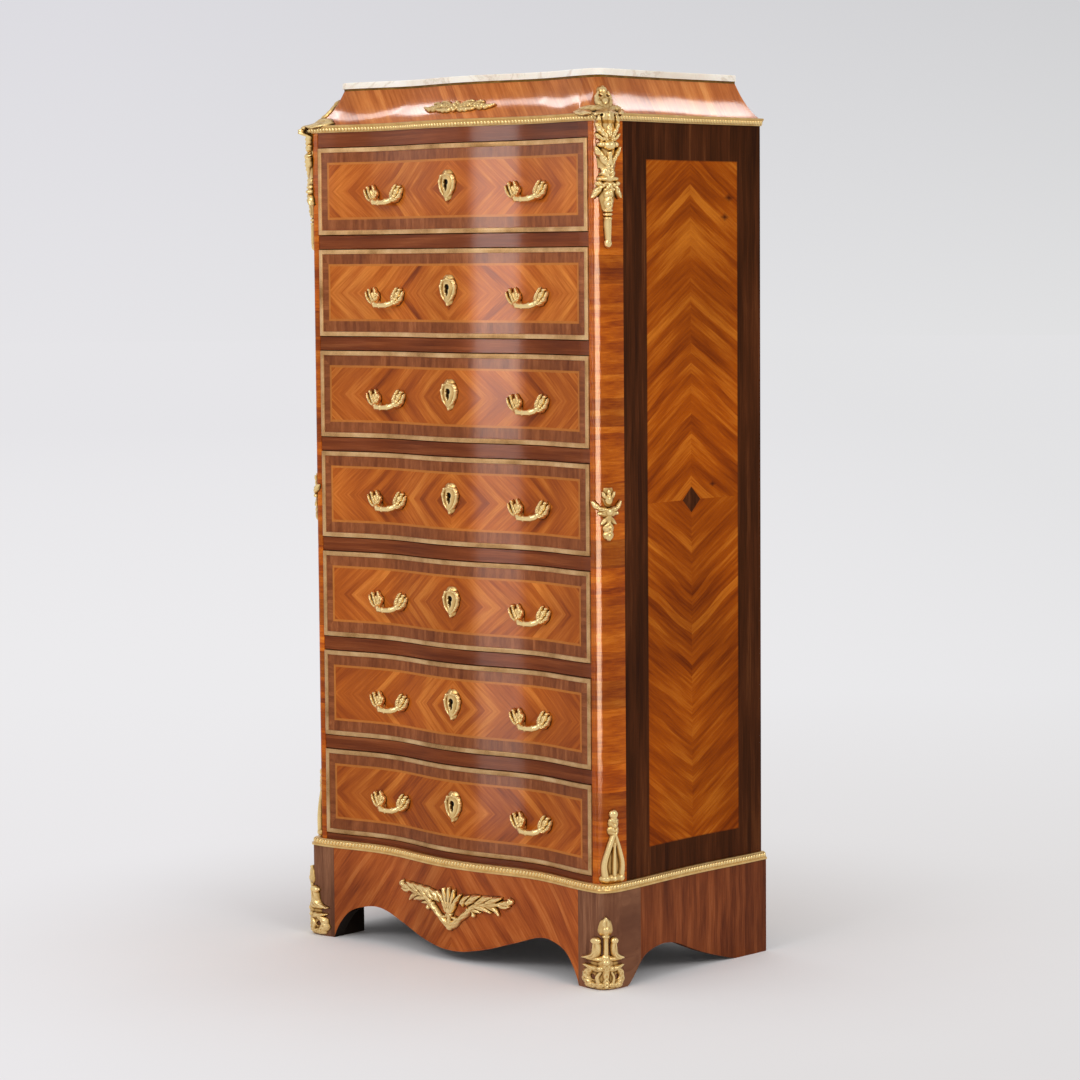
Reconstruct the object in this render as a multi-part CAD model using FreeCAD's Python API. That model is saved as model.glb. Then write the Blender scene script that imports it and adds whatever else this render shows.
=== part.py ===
"""Semainier: a tall chest with a serpentine front, seven drawers, gilt mounts and a marble top.

Millimetres. X runs along the front, the drawers open towards -Y, Z is up. The chest is drawn with
its front plane at Y = 0 and moved at the end, so that the origin is at the middle of its footprint.
"""
import FreeCAD, Part
import math
import os

V = FreeCAD.Vector

# ---- driving dimensions -----------------------------------------------------------------------
HEIGHT = 1400.0
BODY_WIDTH = 644.0              # over the corners
BODY_DEPTH = 376.0              # front plane to the back

DRAWER_COUNT = 7
POST_FACE = 28.0                # end of a drawer front to the side of the chest
TOP_RAIL = 24.8                 # from the uppermost drawer front to the top of the body
BETWEEN_FRONTS = 23.6           # from one drawer front to the next
BOTTOM_RAIL = 22.6              # from the plinth to the lowest drawer front

# serpentine front and gently hollow sides
HOLLOW_DEPTH = 18.0             # how far the two hollows lie behind the front plane
HOLLOW_PLACE = 0.54             # where a hollow lies, as a share of the half width
SHOULDER = 8.0                  # straight run between the serpentine and the round corner
SIDE_HOLLOW = 6.0               # how far a side draws in, half way back
CORNER_X = 20.0                 # round corner, along the front
CORNER_Y = 40.0                 # round corner, along the side
TOP_CORNER_X = 12.0             # the same corner at the marble
TOP_CORNER_Y = 14.0

# carcass
POST_DEPTH = 48.0
SIDE_THICKNESS = 22.0
BACK_THICKNESS = 10.0
BOARD_THICKNESS = 15.0
RAIL_DEPTH = 62.0
RAIL_SETBACK = 1.0              # the dividing rails lie this much behind the drawer faces
RUNNER_WIDTH = 38.0
RUNNER_THICKNESS = 12.0
GUIDE_HEIGHT = 30.0
MORTISE_GAP = 1.0               # round a lock bolt that is thrown into a rail

# plinth
PLINTH_HEIGHT = 150.0
PLINTH_PROJECTION = 10.0
PLINTH_THICKNESS = 22.0
FOOT_WIDTH = 61.0               # dark corner foot, along the front
FOOT_DEPTH = 80.0               # dark corner foot, along the side
FOOT_BLOCK_DEPTH = 60.0         # front plane to the back of the block inside the foot
FRONT_ARCH_TOP = 60.0
FRONT_ARCH_RUN = 82.0           # from the foot of each front arch to its top
FRONT_ARCH_BITE = 1.0           # how far the arch cuts into the foot at the floor
FRONT_DROP = 16.5               # lowest point of the apron, above the floor
SIDE_ARCH_TOP = 52.0
SIDE_ARCH_RUN = 92.0            # from the front of the side arch to its top
SIDE_FOOT_FRONT = 38.0          # where the side arch meets the floor in front
REAR_FOOT_DEPTH = 76.0          # and from there to the back, behind
BACK_ARCH_TOP = 62.0
BACK_FOOT = 58.0                # width of each foot of the back board

# gilt mouldings
MOULDING_HEIGHT = 12.0
PLINTH_MOULDING_PROJECTION = 12.0
CORNICE_MOULDING_PROJECTION = 8.0
CORNICE_MOULDING_DEPTH = 14.0
EDGING_WIDTH = 6.5
EDGING_PROUD = 2.0
EDGING_SUNK = 3.0
FILLET_HEIGHT = 3.5

# cornice and marble
CORNICE_RISE = 81.0             # underside of the cornice moulding to the top of the marble
MARBLE_THICKNESS = 10.0
MARBLE_OVERHANG = 2.0
MARBLE_EASE = 1.5
COVE_INSET = 41.0               # how far the cove draws in at its top
COVE_BELLY = 6.0                # how far its curve hangs behind the straight line
COVE_BELLY_POWER = 0.8          # below 1, the curve is fullest in its lower half
COVE_FOOT = 2.0                 # the cove starts this much inside the body
COVE_BACK_INSET = 12.0
COVE_WALL = 18.0
COVE_SECTIONS = 7

# drawer boxes
BOX_BACK_GAP = 14.0             # closed drawer to the back panel
BOX_INSET = 5.0                 # drawer side inside the corner post
BOX_SIDE = 11.0
BOX_BOTTOM = 6.0
BOX_GROOVE = 5.0                # how deep the bottom lies in its grooves
BOX_BOTTOM_RISE = 8.0
BOX_HEADROOM = 22.0             # a drawer side is this much lower than its front
BOX_BACK_DROP = 6.0             # and the back of the drawer is this much lower again
FRONT_FLESH = 13.0              # drawer front, at the bottom of a hollow

# drawer furniture
HANDLE_PLACE = 156.0            # middle of each handle, from the centre line
HANDLE_DROP = 10.0              # handle below the middle of the drawer
HANDLE_SPAN = 58.0              # between the middles of its two leaves
HANDLE_STAND = 17.0             # middle of the grip, off the drawer face
HANDLE_DIP = 18.0               # how far the grip hangs below its ends
HANDLE_SINK = 1.0               # how far the casting is let into the curved face
GRIP_RADIUS = 3.2
GRIP_ROOT = 2.0                 # middle of the grip where it leaves a leaf, off the drawer face
GRIP_KNEE = 0.56                # place of each knee of the grip, as a share of the half span
GRIP_KNEE_STAND = 0.8           # and how far it stands off, as a share of the middle
LEAF_LENGTH = 34.0
LEAF_TILT = 25.0                # degrees
LEAF_WIDTH = 15.0
LEAF_THICKNESS = 8.0
ESCUTCHEON_WIDTH = 36.0
ESCUTCHEON_HEIGHT = 55.0
ESCUTCHEON_THICKNESS = 3.5
ESCUTCHEON_RISE = 4.0           # escutcheon above the middle of the drawer
KEYHOLE_RADIUS = 2.4
KEYHOLE_SLOT = 2.6
KEYHOLE_LENGTH = 12.0
KEYHOLE_RISE = 4.0              # keyhole above the middle of its escutcheon
KEY_PIN_RADIUS = 1.2
KEY_PIN_LENGTH = 10.0
LOCK_WIDTH = 56.0
LOCK_HEIGHT = 80.0
LOCK_THICKNESS = 11.0
BOLT_WIDTH = 18.0
BOLT_THICKNESS = 5.0
BOLT_LENGTH = 29.0
BOLT_TRAVEL = 8.0

# relief of the gilt mounts over the wood that they are pinned to
CORNER_MOUNT_RELIEF = 6.0
FOOT_MOUNT_RELIEF = 6.0
APRON_MOUNT_RELIEF = 8.0
CORNICE_MOUNT_RELIEF = 7.0
CORNER_MOUNT_TURN = 38.0        # place on the round corner, in degrees from the side
FOOT_MOUNT_TURN = 60.0
EYE_RADIUS = 3.0                # the two slots through the lower corner mount
EYE_LENGTH = 20.0
EYE_PLACE = 8.0                 # off the middle of the mount
EYE_RISE = 16.0                 # above its foot
UPPER_MOUNT_DROP = 187.0        # from the top of the body to its lower end
MIDDLE_MOUNT_DROP = 45.5        # from half way up the body to its lower end
FOOT_MOUNT_BOTTOM = 2.0
APRON_MOUNT_DROP = 62.0         # from the top of the plinth to its middle
CORNICE_MOUNT_RISE = 20.0       # from the foot of the cove to its middle

# clearances
DRAWER_GAP = 1.2                # all round a drawer front
GUIDE_GAP = 0.5                 # drawer side to its guide
SLIDE_GAP = 0.3                 # drawer side above its runner
BOLT_GAP = 0.3
OVERCUT = 1.0                   # how far a cutting block runs past the face that it opens

# outlines: shares of the run and of the rise, from the foot of an arch to its top, and down again
FRONT_ARCH_RISING = [(0, 0), (0.12, 0.36), (0.23, 0.57), (0.36, 0.75), (0.54, 0.88), (0.76, 0.96), (1, 1)]
FRONT_ARCH_FALLING = [(0.1, 0.95), (0.19, 0.84), (0.31, 0.66), (0.45, 0.47), (0.59, 0.28), (0.74, 0.13),
                      (0.87, 0.03), (1, 0)]
SIDE_ARCH_RISING = [(0, 0), (0.24, 0.42), (0.42, 0.75), (0.66, 0.93), (1, 1)]
SIDE_ARCH_FALLING = [(0.22, 0.86), (0.37, 0.66), (0.56, 0.42), (0.8, 0.17), (1, 0)]
# shares of the half width and of the half height, from the foot of the plate to its tip
ESCUTCHEON_SHAPE = [(0, -1), (0.62, -0.45), (1, 0.15), (0.66, 0.72), (0, 1)]
# height above the foot of a mount, and its half width there
UPPER_PROFILE = [(0, 2), (26, 5), (50, 6), (62, 16), (90, 20), (115, 15), (142, 19), (172, 15),
                 (188, 20), (196, 26), (204, 24), (213, 12), (228, 10), (238, 4)]
MIDDLE_PROFILE = [(0, 6), (14, 9), (26, 10), (38, 20), (50, 21), (60, 14), (70, 13), (77, 5)]
LOWER_PROFILE = [(0, 18), (14, 19), (32, 17), (52, 11), (76, 8), (100, 10), (112, 7), (116, 3)]
FOOT_PROFILE = [(0, 20), (8, 25), (30, 21), (45, 24), (55, 24), (63, 14), (76, 16), (84, 8),
                (98, 10), (108, 6), (115, 2)]
# place beside the centre line, and height over the middle of a mount: upper edge, then lower edge
APRON_MOUNT_UPPER = [(0, 36), (22, 22), (44, 30), (62, 16), (84, 20), (104, 30), (122, 20)]
APRON_MOUNT_LOWER = [(0, -36), (26, -20), (52, -8), (74, 0), (98, 4), (122, 20)]
CORNICE_MOUNT_UPPER = [(0, 13), (20, 9), (45, 10), (68, 4), (87, 0)]
CORNICE_MOUNT_LOWER = [(0, -13), (25, -9), (52, -8), (87, 0)]

# ---- values that follow -----------------------------------------------------------------------
BODY_HALF = BODY_WIDTH / 2
DRAWER_HALF = BODY_HALF - POST_FACE
POST_INSIDE = DRAWER_HALF + DRAWER_GAP
SIDE_INSIDE = BODY_HALF - SIDE_THICKNESS
BODY_TOP = HEIGHT - CORNICE_RISE
LOWEST_DRAWER = PLINTH_HEIGHT + BOTTOM_RAIL
STACK_HEIGHT = BODY_TOP - TOP_RAIL - LOWEST_DRAWER
DRAWER_PITCH = (STACK_HEIGHT + BETWEEN_FRONTS) / DRAWER_COUNT
DRAWER_HEIGHT = DRAWER_PITCH - BETWEEN_FRONTS
COVE_BASE = BODY_TOP + MOULDING_HEIGHT
MARBLE_BASE = HEIGHT - MARBLE_THICKNESS
COVE_TOP = MARBLE_BASE - FILLET_HEIGHT
FRONT_BACK = HOLLOW_DEPTH + FRONT_FLESH
BACK_FACE = BODY_DEPTH - BACK_THICKNESS
BOX_HALF = POST_INSIDE - BOX_INSET
BOX_END = BACK_FACE - BOX_BACK_GAP
HOLLOW_POWER = math.log(0.5) / math.log(HOLLOW_PLACE)
BEZIER_QUARTER = 0.5523         # handle length that makes a quarter ellipse
UPPER_MOUNT_BOTTOM = BODY_TOP - UPPER_MOUNT_DROP
MIDDLE_MOUNT_BOTTOM = (PLINTH_HEIGHT + BODY_TOP) / 2 - MIDDLE_MOUNT_DROP
LOWER_MOUNT_BOTTOM = PLINTH_HEIGHT + MOULDING_HEIGHT


def drawer_floor(number):
    """Underside of a drawer front. Drawer 1 is the highest."""
    return LOWEST_DRAWER + (DRAWER_COUNT - number) * DRAWER_PITCH


def box(x0, x1, y0, y1, z0, z1):
    return Part.makeBox(x1 - x0, y1 - y0, z1 - z0, V(x0, y0, z0))


def mirrored(shape):
    return shape.mirror(V(0, 0, 0), V(1, 0, 0))


def both_sides(shape):
    return Part.makeCompound([shape, mirrored(shape)])


def spline(points, start=None, end=None):
    curve = Part.BSplineCurve()
    if start is None:
        curve.interpolate(Points=points)
    else:
        curve.interpolate(Points=points, InitialTangent=start, FinalTangent=end)
    return curve.toShape()


def bezier(*poles):
    curve = Part.BezierCurve()
    curve.setPoles(list(poles))
    return curve.toShape()


def line(a, b):
    return Part.LineSegment(a, b).toShape()


# ---- plan shapes ------------------------------------------------------------------------------
def hollow(x, half):
    """Depth of the serpentine front behind the front plane at x."""
    share = min(1.0, abs(x) / half)
    return HOLLOW_DEPTH * math.sin(math.pi * share ** HOLLOW_POWER) ** 2


def front_curve(half, reach, y, z, steps=24):
    """Serpentine edge from -reach to reach."""
    points = []
    for step in range(steps + 1):
        x = -reach + 2 * reach * step / steps
        points.append(V(x, y + hollow(x, half), z))
    return spline(points, V(1, 0, 0), V(1, 0, 0))


def side_x(grow, share):
    return BODY_HALF + grow - SIDE_HOLLOW * math.sin(math.pi * share) ** 2


def side_curve(grow, y0, y1, z, steps=8):
    """Hollow side edge from the corner, at y0, to the back, at y1."""
    points = []
    for step in range(steps + 1):
        share = step / steps
        points.append(V(side_x(grow, share), y0 + (y1 - y0) * share, z))
    return spline(points, V(0, 1, 0), V(0, 1, 0))


def outline(grow, z, corner_x=CORNER_X, corner_y=CORNER_Y, back=BODY_DEPTH):
    """Closed plan outline of the chest, moved outwards by grow."""
    reach = side_x(grow, 0) - corner_x
    turn = corner_y - grow
    lead = V(reach, -grow, z)
    trail = V(reach + corner_x, turn, z)
    corner = bezier(
        lead,
        lead + V(corner_x * BEZIER_QUARTER, 0, 0),
        trail - V(0, corner_y * BEZIER_QUARTER, 0),
        trail,
    )
    side = side_curve(grow, turn, back, z)
    rear = side_x(grow, 1)
    edges = [
        front_curve(reach - SHOULDER, reach, -grow, z),
        corner,
        side,
        line(V(rear, back, z), V(-rear, back, z)),
        mirrored(side),
        mirrored(corner),
    ]
    return Part.Wire(Part.__sortEdges__(edges))


def prism(grow, z0, z1):
    return Part.Face(outline(grow, z0)).extrude(V(0, 0, z1 - z0))


def corner_point(grow, turn):
    """Point, outward direction and sideways direction on the right-hand round corner."""
    angle = math.radians(turn)
    x = side_x(grow, 0) - CORNER_X * (1 - math.cos(angle))
    y = CORNER_Y - grow - CORNER_Y * math.sin(angle)
    outward = V(math.cos(angle) / CORNER_X, -math.sin(angle) / CORNER_Y, 0).normalize()
    sideways = V(-outward.y, outward.x, 0)
    return V(x, y, 0), outward, sideways


# ---- carcass ----------------------------------------------------------------------------------
def corner_post():
    body = prism(0, PLINTH_HEIGHT, BODY_TOP)
    zone = box(POST_INSIDE, BODY_WIDTH, -BODY_DEPTH, POST_DEPTH, 0, HEIGHT)
    return body.common(zone)


def side_panel():
    body = prism(0, PLINTH_HEIGHT, BODY_TOP)
    zone = box(SIDE_INSIDE, BODY_WIDTH, POST_DEPTH, BODY_DEPTH, 0, HEIGHT)
    return body.common(zone)


def back_panel():
    return box(-SIDE_INSIDE, SIDE_INSIDE, BACK_FACE, BODY_DEPTH, PLINTH_HEIGHT, BODY_TOP)


def bottom_board():
    rear = BACK_FACE
    return box(-SIDE_INSIDE, SIDE_INSIDE, RAIL_DEPTH, rear, PLINTH_HEIGHT, PLINTH_HEIGHT + BOARD_THICKNESS)


def top_board():
    """Top of the carcass, and the plain rail that closes the cornice at the back."""
    board = prism(CORNICE_MOULDING_PROJECTION - CORNICE_MOULDING_DEPTH, BODY_TOP, COVE_BASE)
    half = BODY_HALF - COVE_INSET - COVE_WALL
    y1 = BODY_DEPTH - COVE_BACK_INSET
    rail = box(-half, half, y1 - COVE_WALL, y1, COVE_BASE, COVE_TOP)
    return Part.makeCompound([board, rail])


def rail_bounds(number):
    """Lower and upper face of the rail above drawer number, or of the lowest one for DRAWER_COUNT + 1."""
    z1 = drawer_floor(number - 1) - DRAWER_GAP if number > 1 else BODY_TOP
    z0 = drawer_floor(number) + DRAWER_HEIGHT + DRAWER_GAP if number <= DRAWER_COUNT else PLINTH_HEIGHT
    return z0, z1


def drawer_rails():
    """Serpentine rails above, between and below the drawers, each with a mortise for a lock bolt."""
    rails = []
    mortise_half = BOLT_WIDTH / 2 + MORTISE_GAP
    bolt_y = lock_y() + LOCK_THICKNESS / 2
    for number in range(1, DRAWER_COUNT + 2):
        z0, z1 = rail_bounds(number)
        edges = [
            front_curve(DRAWER_HALF, POST_INSIDE, RAIL_SETBACK, z0),
            line(V(POST_INSIDE, RAIL_SETBACK, z0), V(POST_INSIDE, RAIL_DEPTH, z0)),
            line(V(POST_INSIDE, RAIL_DEPTH, z0), V(-POST_INSIDE, RAIL_DEPTH, z0)),
            line(V(-POST_INSIDE, RAIL_DEPTH, z0), V(-POST_INSIDE, RAIL_SETBACK, z0)),
        ]
        rail = Part.Face(Part.Wire(edges)).extrude(V(0, 0, z1 - z0))
        if number <= DRAWER_COUNT:
            y0 = bolt_y - BOLT_THICKNESS / 2 - MORTISE_GAP
            y1 = bolt_y + BOLT_THICKNESS / 2 + MORTISE_GAP
            depth = BOLT_TRAVEL + MORTISE_GAP
            rail = rail.cut(box(-mortise_half, mortise_half, y0, y1, z0 - OVERCUT, z0 + depth))
        rails.append(rail)
    return Part.makeCompound(rails)


def drawer_runners():
    """Left and right runner of each drawer, each with the guide strip that it is made in one with."""
    runners = []
    for number in range(1, DRAWER_COUNT + 1):
        top = drawer_floor(number) + DRAWER_GAP - SLIDE_GAP
        inner = SIDE_INSIDE - RUNNER_WIDTH
        bar = box(inner, SIDE_INSIDE, RAIL_DEPTH, BACK_FACE, top - RUNNER_THICKNESS, top)
        if number == DRAWER_COUNT:
            bar = box(inner, SIDE_INSIDE, RAIL_DEPTH, BACK_FACE, PLINTH_HEIGHT + BOARD_THICKNESS, top)
        guide = box(BOX_HALF + GUIDE_GAP, SIDE_INSIDE, RAIL_DEPTH, BACK_FACE, top, top + GUIDE_HEIGHT)
        runner = bar.fuse(guide).removeSplitter()
        runners += [runner, mirrored(runner)]
    return Part.makeCompound(runners)


# ---- plinth -----------------------------------------------------------------------------------
def plinth_body():
    return prism(PLINTH_PROJECTION, 0, PLINTH_HEIGHT)


def foot_inside():
    return BODY_HALF + PLINTH_PROJECTION - FOOT_WIDTH


def foot_rear():
    return FOOT_DEPTH - PLINTH_PROJECTION


def front_arches():
    """What is cut away below the apron: two arches with the drop of the apron between them."""
    foot = foot_inside() + FRONT_ARCH_BITE
    top = foot - FRONT_ARCH_RUN
    fall = FRONT_ARCH_TOP - FRONT_DROP
    right = [V(foot - FRONT_ARCH_RUN * run, 0, FRONT_ARCH_TOP * rise) for run, rise in FRONT_ARCH_RISING]
    right += [V(top * (1 - run), 0, FRONT_DROP + fall * rise) for run, rise in FRONT_ARCH_FALLING]
    left = [V(-point.x, 0, point.z) for point in reversed(right[:-1])]
    edges = [spline(right + left), line(V(-foot, 0, 0), V(foot, 0, 0))]
    face = Part.Face(Part.Wire(edges))
    face.translate(V(0, -BODY_DEPTH, 0))
    return face.extrude(V(0, BODY_DEPTH + FOOT_DEPTH, 0))


def side_arch(depth):
    """What is cut away below the outer part of a side: one arch, drawn out towards the back foot."""
    start = SIDE_FOOT_FRONT
    top = start + SIDE_ARCH_RUN
    tail = BODY_DEPTH - REAR_FOOT_DEPTH - top
    points = [V(0, start + SIDE_ARCH_RUN * run, SIDE_ARCH_TOP * rise) for run, rise in SIDE_ARCH_RISING]
    points += [V(0, top + tail * run, SIDE_ARCH_TOP * rise) for run, rise in SIDE_ARCH_FALLING]
    edges = [spline(points), line(points[-1], points[0])]
    face = Part.Face(Part.Wire(edges))
    face.translate(V(BODY_HALF + PLINTH_PROJECTION - depth, 0, 0))
    return face.extrude(V(BODY_WIDTH, 0, 0))


def plinth_front():
    """Serpentine apron between the two corner feet."""
    half = foot_inside()
    zone = box(-half, half, -BODY_DEPTH, FOOT_DEPTH, 0, PLINTH_HEIGHT)
    reach = side_x(PLINTH_PROJECTION, 0) - CORNER_X
    inner_y = PLINTH_THICKNESS - PLINTH_PROJECTION
    inner = [
        front_curve(reach - SHOULDER, reach, inner_y, 0),
        line(V(reach, inner_y, 0), V(reach, BODY_DEPTH, 0)),
        line(V(reach, BODY_DEPTH, 0), V(-reach, BODY_DEPTH, 0)),
        line(V(-reach, BODY_DEPTH, 0), V(-reach, inner_y, 0)),
    ]
    room = Part.Face(Part.Wire(inner)).extrude(V(0, 0, PLINTH_HEIGHT))
    return plinth_body().common(zone).cut(room).cut(front_arches())


def plinth_foot():
    """Dark corner foot on the right: a block behind faces that the arches shape."""
    zone = box(foot_inside(), BODY_WIDTH, -BODY_DEPTH, foot_rear(), 0, PLINTH_HEIGHT)
    face = BODY_HALF + PLINTH_PROJECTION - PLINTH_THICKNESS
    behind = box(0, face, FOOT_BLOCK_DEPTH, BODY_DEPTH, -OVERCUT, PLINTH_HEIGHT + OVERCUT)
    return plinth_body().common(zone).cut(front_arches()).cut(side_arch(PLINTH_THICKNESS)).cut(behind)


def plinth_side():
    inner = BODY_HALF + PLINTH_PROJECTION - PLINTH_THICKNESS
    zone = box(inner, BODY_WIDTH, foot_rear(), BODY_DEPTH, 0, PLINTH_HEIGHT)
    return plinth_body().common(zone).cut(side_arch(2 * PLINTH_THICKNESS))


def plinth_back():
    half = BODY_HALF + PLINTH_PROJECTION - PLINTH_THICKNESS
    board = box(-half, half, BODY_DEPTH - PLINTH_THICKNESS, BODY_DEPTH, 0, PLINTH_HEIGHT)
    arch = box(BACK_FOOT - half, half - BACK_FOOT, 0, 2 * BODY_DEPTH, -OVERCUT, BACK_ARCH_TOP)
    return board.cut(arch)


# ---- gilt mouldings ---------------------------------------------------------------------------
def mitred(ring):
    """Front, right-hand and left-hand length of a ring that is open at the back."""
    far = 2 * BODY_WIDTH
    apex = V(0, BODY_HALF, 0)
    corners = [apex, V(far, BODY_HALF - far, 0), V(-far, BODY_HALF - far, 0), apex]
    wedge = Part.Face(Part.makePolygon(corners)).extrude(V(0, 0, HEIGHT))
    right = ring.cut(wedge).common(box(0, far, -far, far, 0, HEIGHT))
    return ring.common(wedge), right, mirrored(right)


def plinth_moulding():
    ring = prism(PLINTH_MOULDING_PROJECTION, PLINTH_HEIGHT, PLINTH_HEIGHT + MOULDING_HEIGHT)
    return Part.makeCompound(mitred(ring.cut(prism(0, PLINTH_HEIGHT, PLINTH_HEIGHT + MOULDING_HEIGHT))))


def cornice_mouldings():
    """The moulding under the cove, and the thin fillet under the marble."""
    inner = CORNICE_MOULDING_PROJECTION - CORNICE_MOULDING_DEPTH
    ring = prism(CORNICE_MOULDING_PROJECTION, BODY_TOP, COVE_BASE)
    ring = ring.cut(prism(inner, BODY_TOP, COVE_BASE))
    back = BODY_DEPTH - COVE_BACK_INSET
    edge = outline(-COVE_INSET, COVE_TOP, TOP_CORNER_X, TOP_CORNER_Y, back)
    fillet = Part.Face(edge).extrude(V(0, 0, FILLET_HEIGHT))
    half = BODY_HALF - COVE_INSET - COVE_WALL
    hole = box(-half, half, COVE_INSET + COVE_WALL, BODY_DEPTH, 0, HEIGHT)
    return Part.makeCompound([*mitred(ring), *mitred(fillet.cut(hole))])


# ---- cornice and marble -----------------------------------------------------------------------
def cove_inset(share):
    """How far the cove lies inside the body, from its base (0) to its top (1)."""
    straight = COVE_FOOT + (COVE_INSET - COVE_FOOT) * share
    return straight + COVE_BELLY * math.sin(math.pi * share ** COVE_BELLY_POWER)


def cove_solid(grow):
    """The whole cove as one block, moved outwards by grow."""
    wires = []
    for step in range(COVE_SECTIONS):
        share = step / (COVE_SECTIONS - 1)
        wires.append(
            outline(
                grow - cove_inset(share),
                COVE_BASE + (COVE_TOP - COVE_BASE) * share,
                CORNER_X + (TOP_CORNER_X - CORNER_X) * share,
                CORNER_Y + (TOP_CORNER_Y - CORNER_Y) * share,
                BODY_DEPTH - COVE_BACK_INSET * share,
            )
        )
    return Part.makeLoft(wires, True, False)


def cornice_pieces():
    """Front, right-hand and left-hand piece of the cove."""
    half = BODY_HALF - COVE_INSET - COVE_WALL
    room = box(-half, half, COVE_INSET + COVE_WALL, 2 * BODY_DEPTH, 0, HEIGHT)
    return mitred(cove_solid(0).cut(room))


def marble_outline(inset, z):
    back = BODY_DEPTH - COVE_BACK_INSET - inset
    return outline(MARBLE_OVERHANG - COVE_INSET - inset, z, TOP_CORNER_X, TOP_CORNER_Y, back)


def marble_top():
    """Slab that follows the plan of the chest, with an eased upper edge."""
    shoulder = HEIGHT - MARBLE_EASE
    slab = Part.Face(marble_outline(0, MARBLE_BASE)).extrude(V(0, 0, shoulder - MARBLE_BASE))
    ease = Part.makeLoft([marble_outline(0, shoulder), marble_outline(MARBLE_EASE, HEIGHT)], True, True)
    return slab.fuse(ease).removeSplitter()


# ---- drawers ----------------------------------------------------------------------------------
def serpentine_slab(half, y0, y1, z0, z1):
    """Slab between two serpentine faces."""
    a = front_curve(DRAWER_HALF, half, y0, z0)
    b = front_curve(DRAWER_HALF, half, y1, z0)
    ends = [e.valueAt(e.FirstParameter) for e in (a, b)] + [e.valueAt(e.LastParameter) for e in (a, b)]
    edges = [a, line(ends[2], ends[3]), b, line(ends[1], ends[0])]
    return Part.Face(Part.Wire(Part.__sortEdges__(edges))).extrude(V(0, 0, z1 - z0))


def lock_y():
    return FRONT_BACK - LOCK_THICKNESS


def keyhole(z, y0, y1):
    """Round hole with a slot below it, along Y."""
    head = Part.makeCylinder(KEYHOLE_RADIUS, y1 - y0, V(0, y0, z), V(0, 1, 0))
    slot = box(-KEYHOLE_SLOT / 2, KEYHOLE_SLOT / 2, y0, y1, z + KEYHOLE_RADIUS - KEYHOLE_LENGTH, z)
    return head.fuse(slot)


def drawer_edging(z0):
    """Lower and upper strip, and the two upright ones between them."""
    z1 = z0 + DRAWER_HEIGHT
    low = serpentine_slab(DRAWER_HALF, -EDGING_PROUD, EDGING_SUNK, z0, z0 + EDGING_WIDTH)
    high = low.translated(V(0, 0, DRAWER_HEIGHT - EDGING_WIDTH))
    inner = DRAWER_HALF - EDGING_WIDTH
    tall = serpentine_slab(DRAWER_HALF, -EDGING_PROUD, EDGING_SUNK, z0 + EDGING_WIDTH, z1 - EDGING_WIDTH)
    upright = tall.common(box(inner, BODY_WIDTH, -BODY_DEPTH, BODY_DEPTH, z0, z1))
    return Part.makeCompound([low, high, upright, mirrored(upright)])


def lock_case(z0):
    """Lock with a channel for its bolt, and the pin that guides the key."""
    z1 = z0 + DRAWER_HEIGHT
    y0 = lock_y()
    middle = y0 + LOCK_THICKNESS / 2
    case = box(-LOCK_WIDTH / 2, LOCK_WIDTH / 2, y0, FRONT_BACK, z1 - LOCK_HEIGHT, z1)
    half = BOLT_WIDTH / 2 + BOLT_GAP
    reach = BOLT_THICKNESS / 2 + BOLT_GAP
    low = z1 - BOLT_LENGTH - BOLT_GAP
    case = case.cut(box(-half, half, middle - reach, middle + reach, low, z1 + OVERCUT))
    tip = V(0, y0 - KEY_PIN_LENGTH, keyhole_z(z0))
    pin = Part.makeCylinder(KEY_PIN_RADIUS, KEY_PIN_LENGTH, tip, V(0, 1, 0))
    return case.fuse(pin)


def lock_bolt(z0):
    z1 = z0 + DRAWER_HEIGHT
    middle = lock_y() + LOCK_THICKNESS / 2
    half = BOLT_THICKNESS / 2
    return box(-BOLT_WIDTH / 2, BOLT_WIDTH / 2, middle - half, middle + half, z1 - BOLT_LENGTH, z1)


def keyhole_z(z0):
    return z0 + DRAWER_HEIGHT / 2 + ESCUTCHEON_RISE + KEYHOLE_RISE


def bottom_panel(z0):
    half = BOX_HALF - BOX_SIDE + BOX_GROOVE
    z = z0 + DRAWER_GAP + BOX_BOTTOM_RISE
    return box(-half, half, FRONT_BACK - BOX_GROOVE, BOX_END, z, z + BOX_BOTTOM)


def drawer_front(z0):
    """Shaped front, with room for its edging, its lock, the keyhole and the bottom panel."""
    z1 = z0 + DRAWER_HEIGHT
    face = front_curve(DRAWER_HALF, DRAWER_HALF, 0, z0)
    edges = [
        face,
        line(V(DRAWER_HALF, 0, z0), V(DRAWER_HALF, FRONT_BACK, z0)),
        line(V(DRAWER_HALF, FRONT_BACK, z0), V(-DRAWER_HALF, FRONT_BACK, z0)),
        line(V(-DRAWER_HALF, FRONT_BACK, z0), V(-DRAWER_HALF, 0, z0)),
    ]
    front = Part.Face(Part.Wire(edges)).extrude(V(0, 0, z1 - z0))
    pocket = box(-LOCK_WIDTH / 2, LOCK_WIDTH / 2, lock_y(), FRONT_BACK, z1 - LOCK_HEIGHT, z1)
    front = front.cut(drawer_edging(z0)).cut(pocket)
    return front.cut(keyhole(keyhole_z(z0), -BODY_DEPTH, FRONT_BACK)).cut(bottom_panel(z0))


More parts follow.
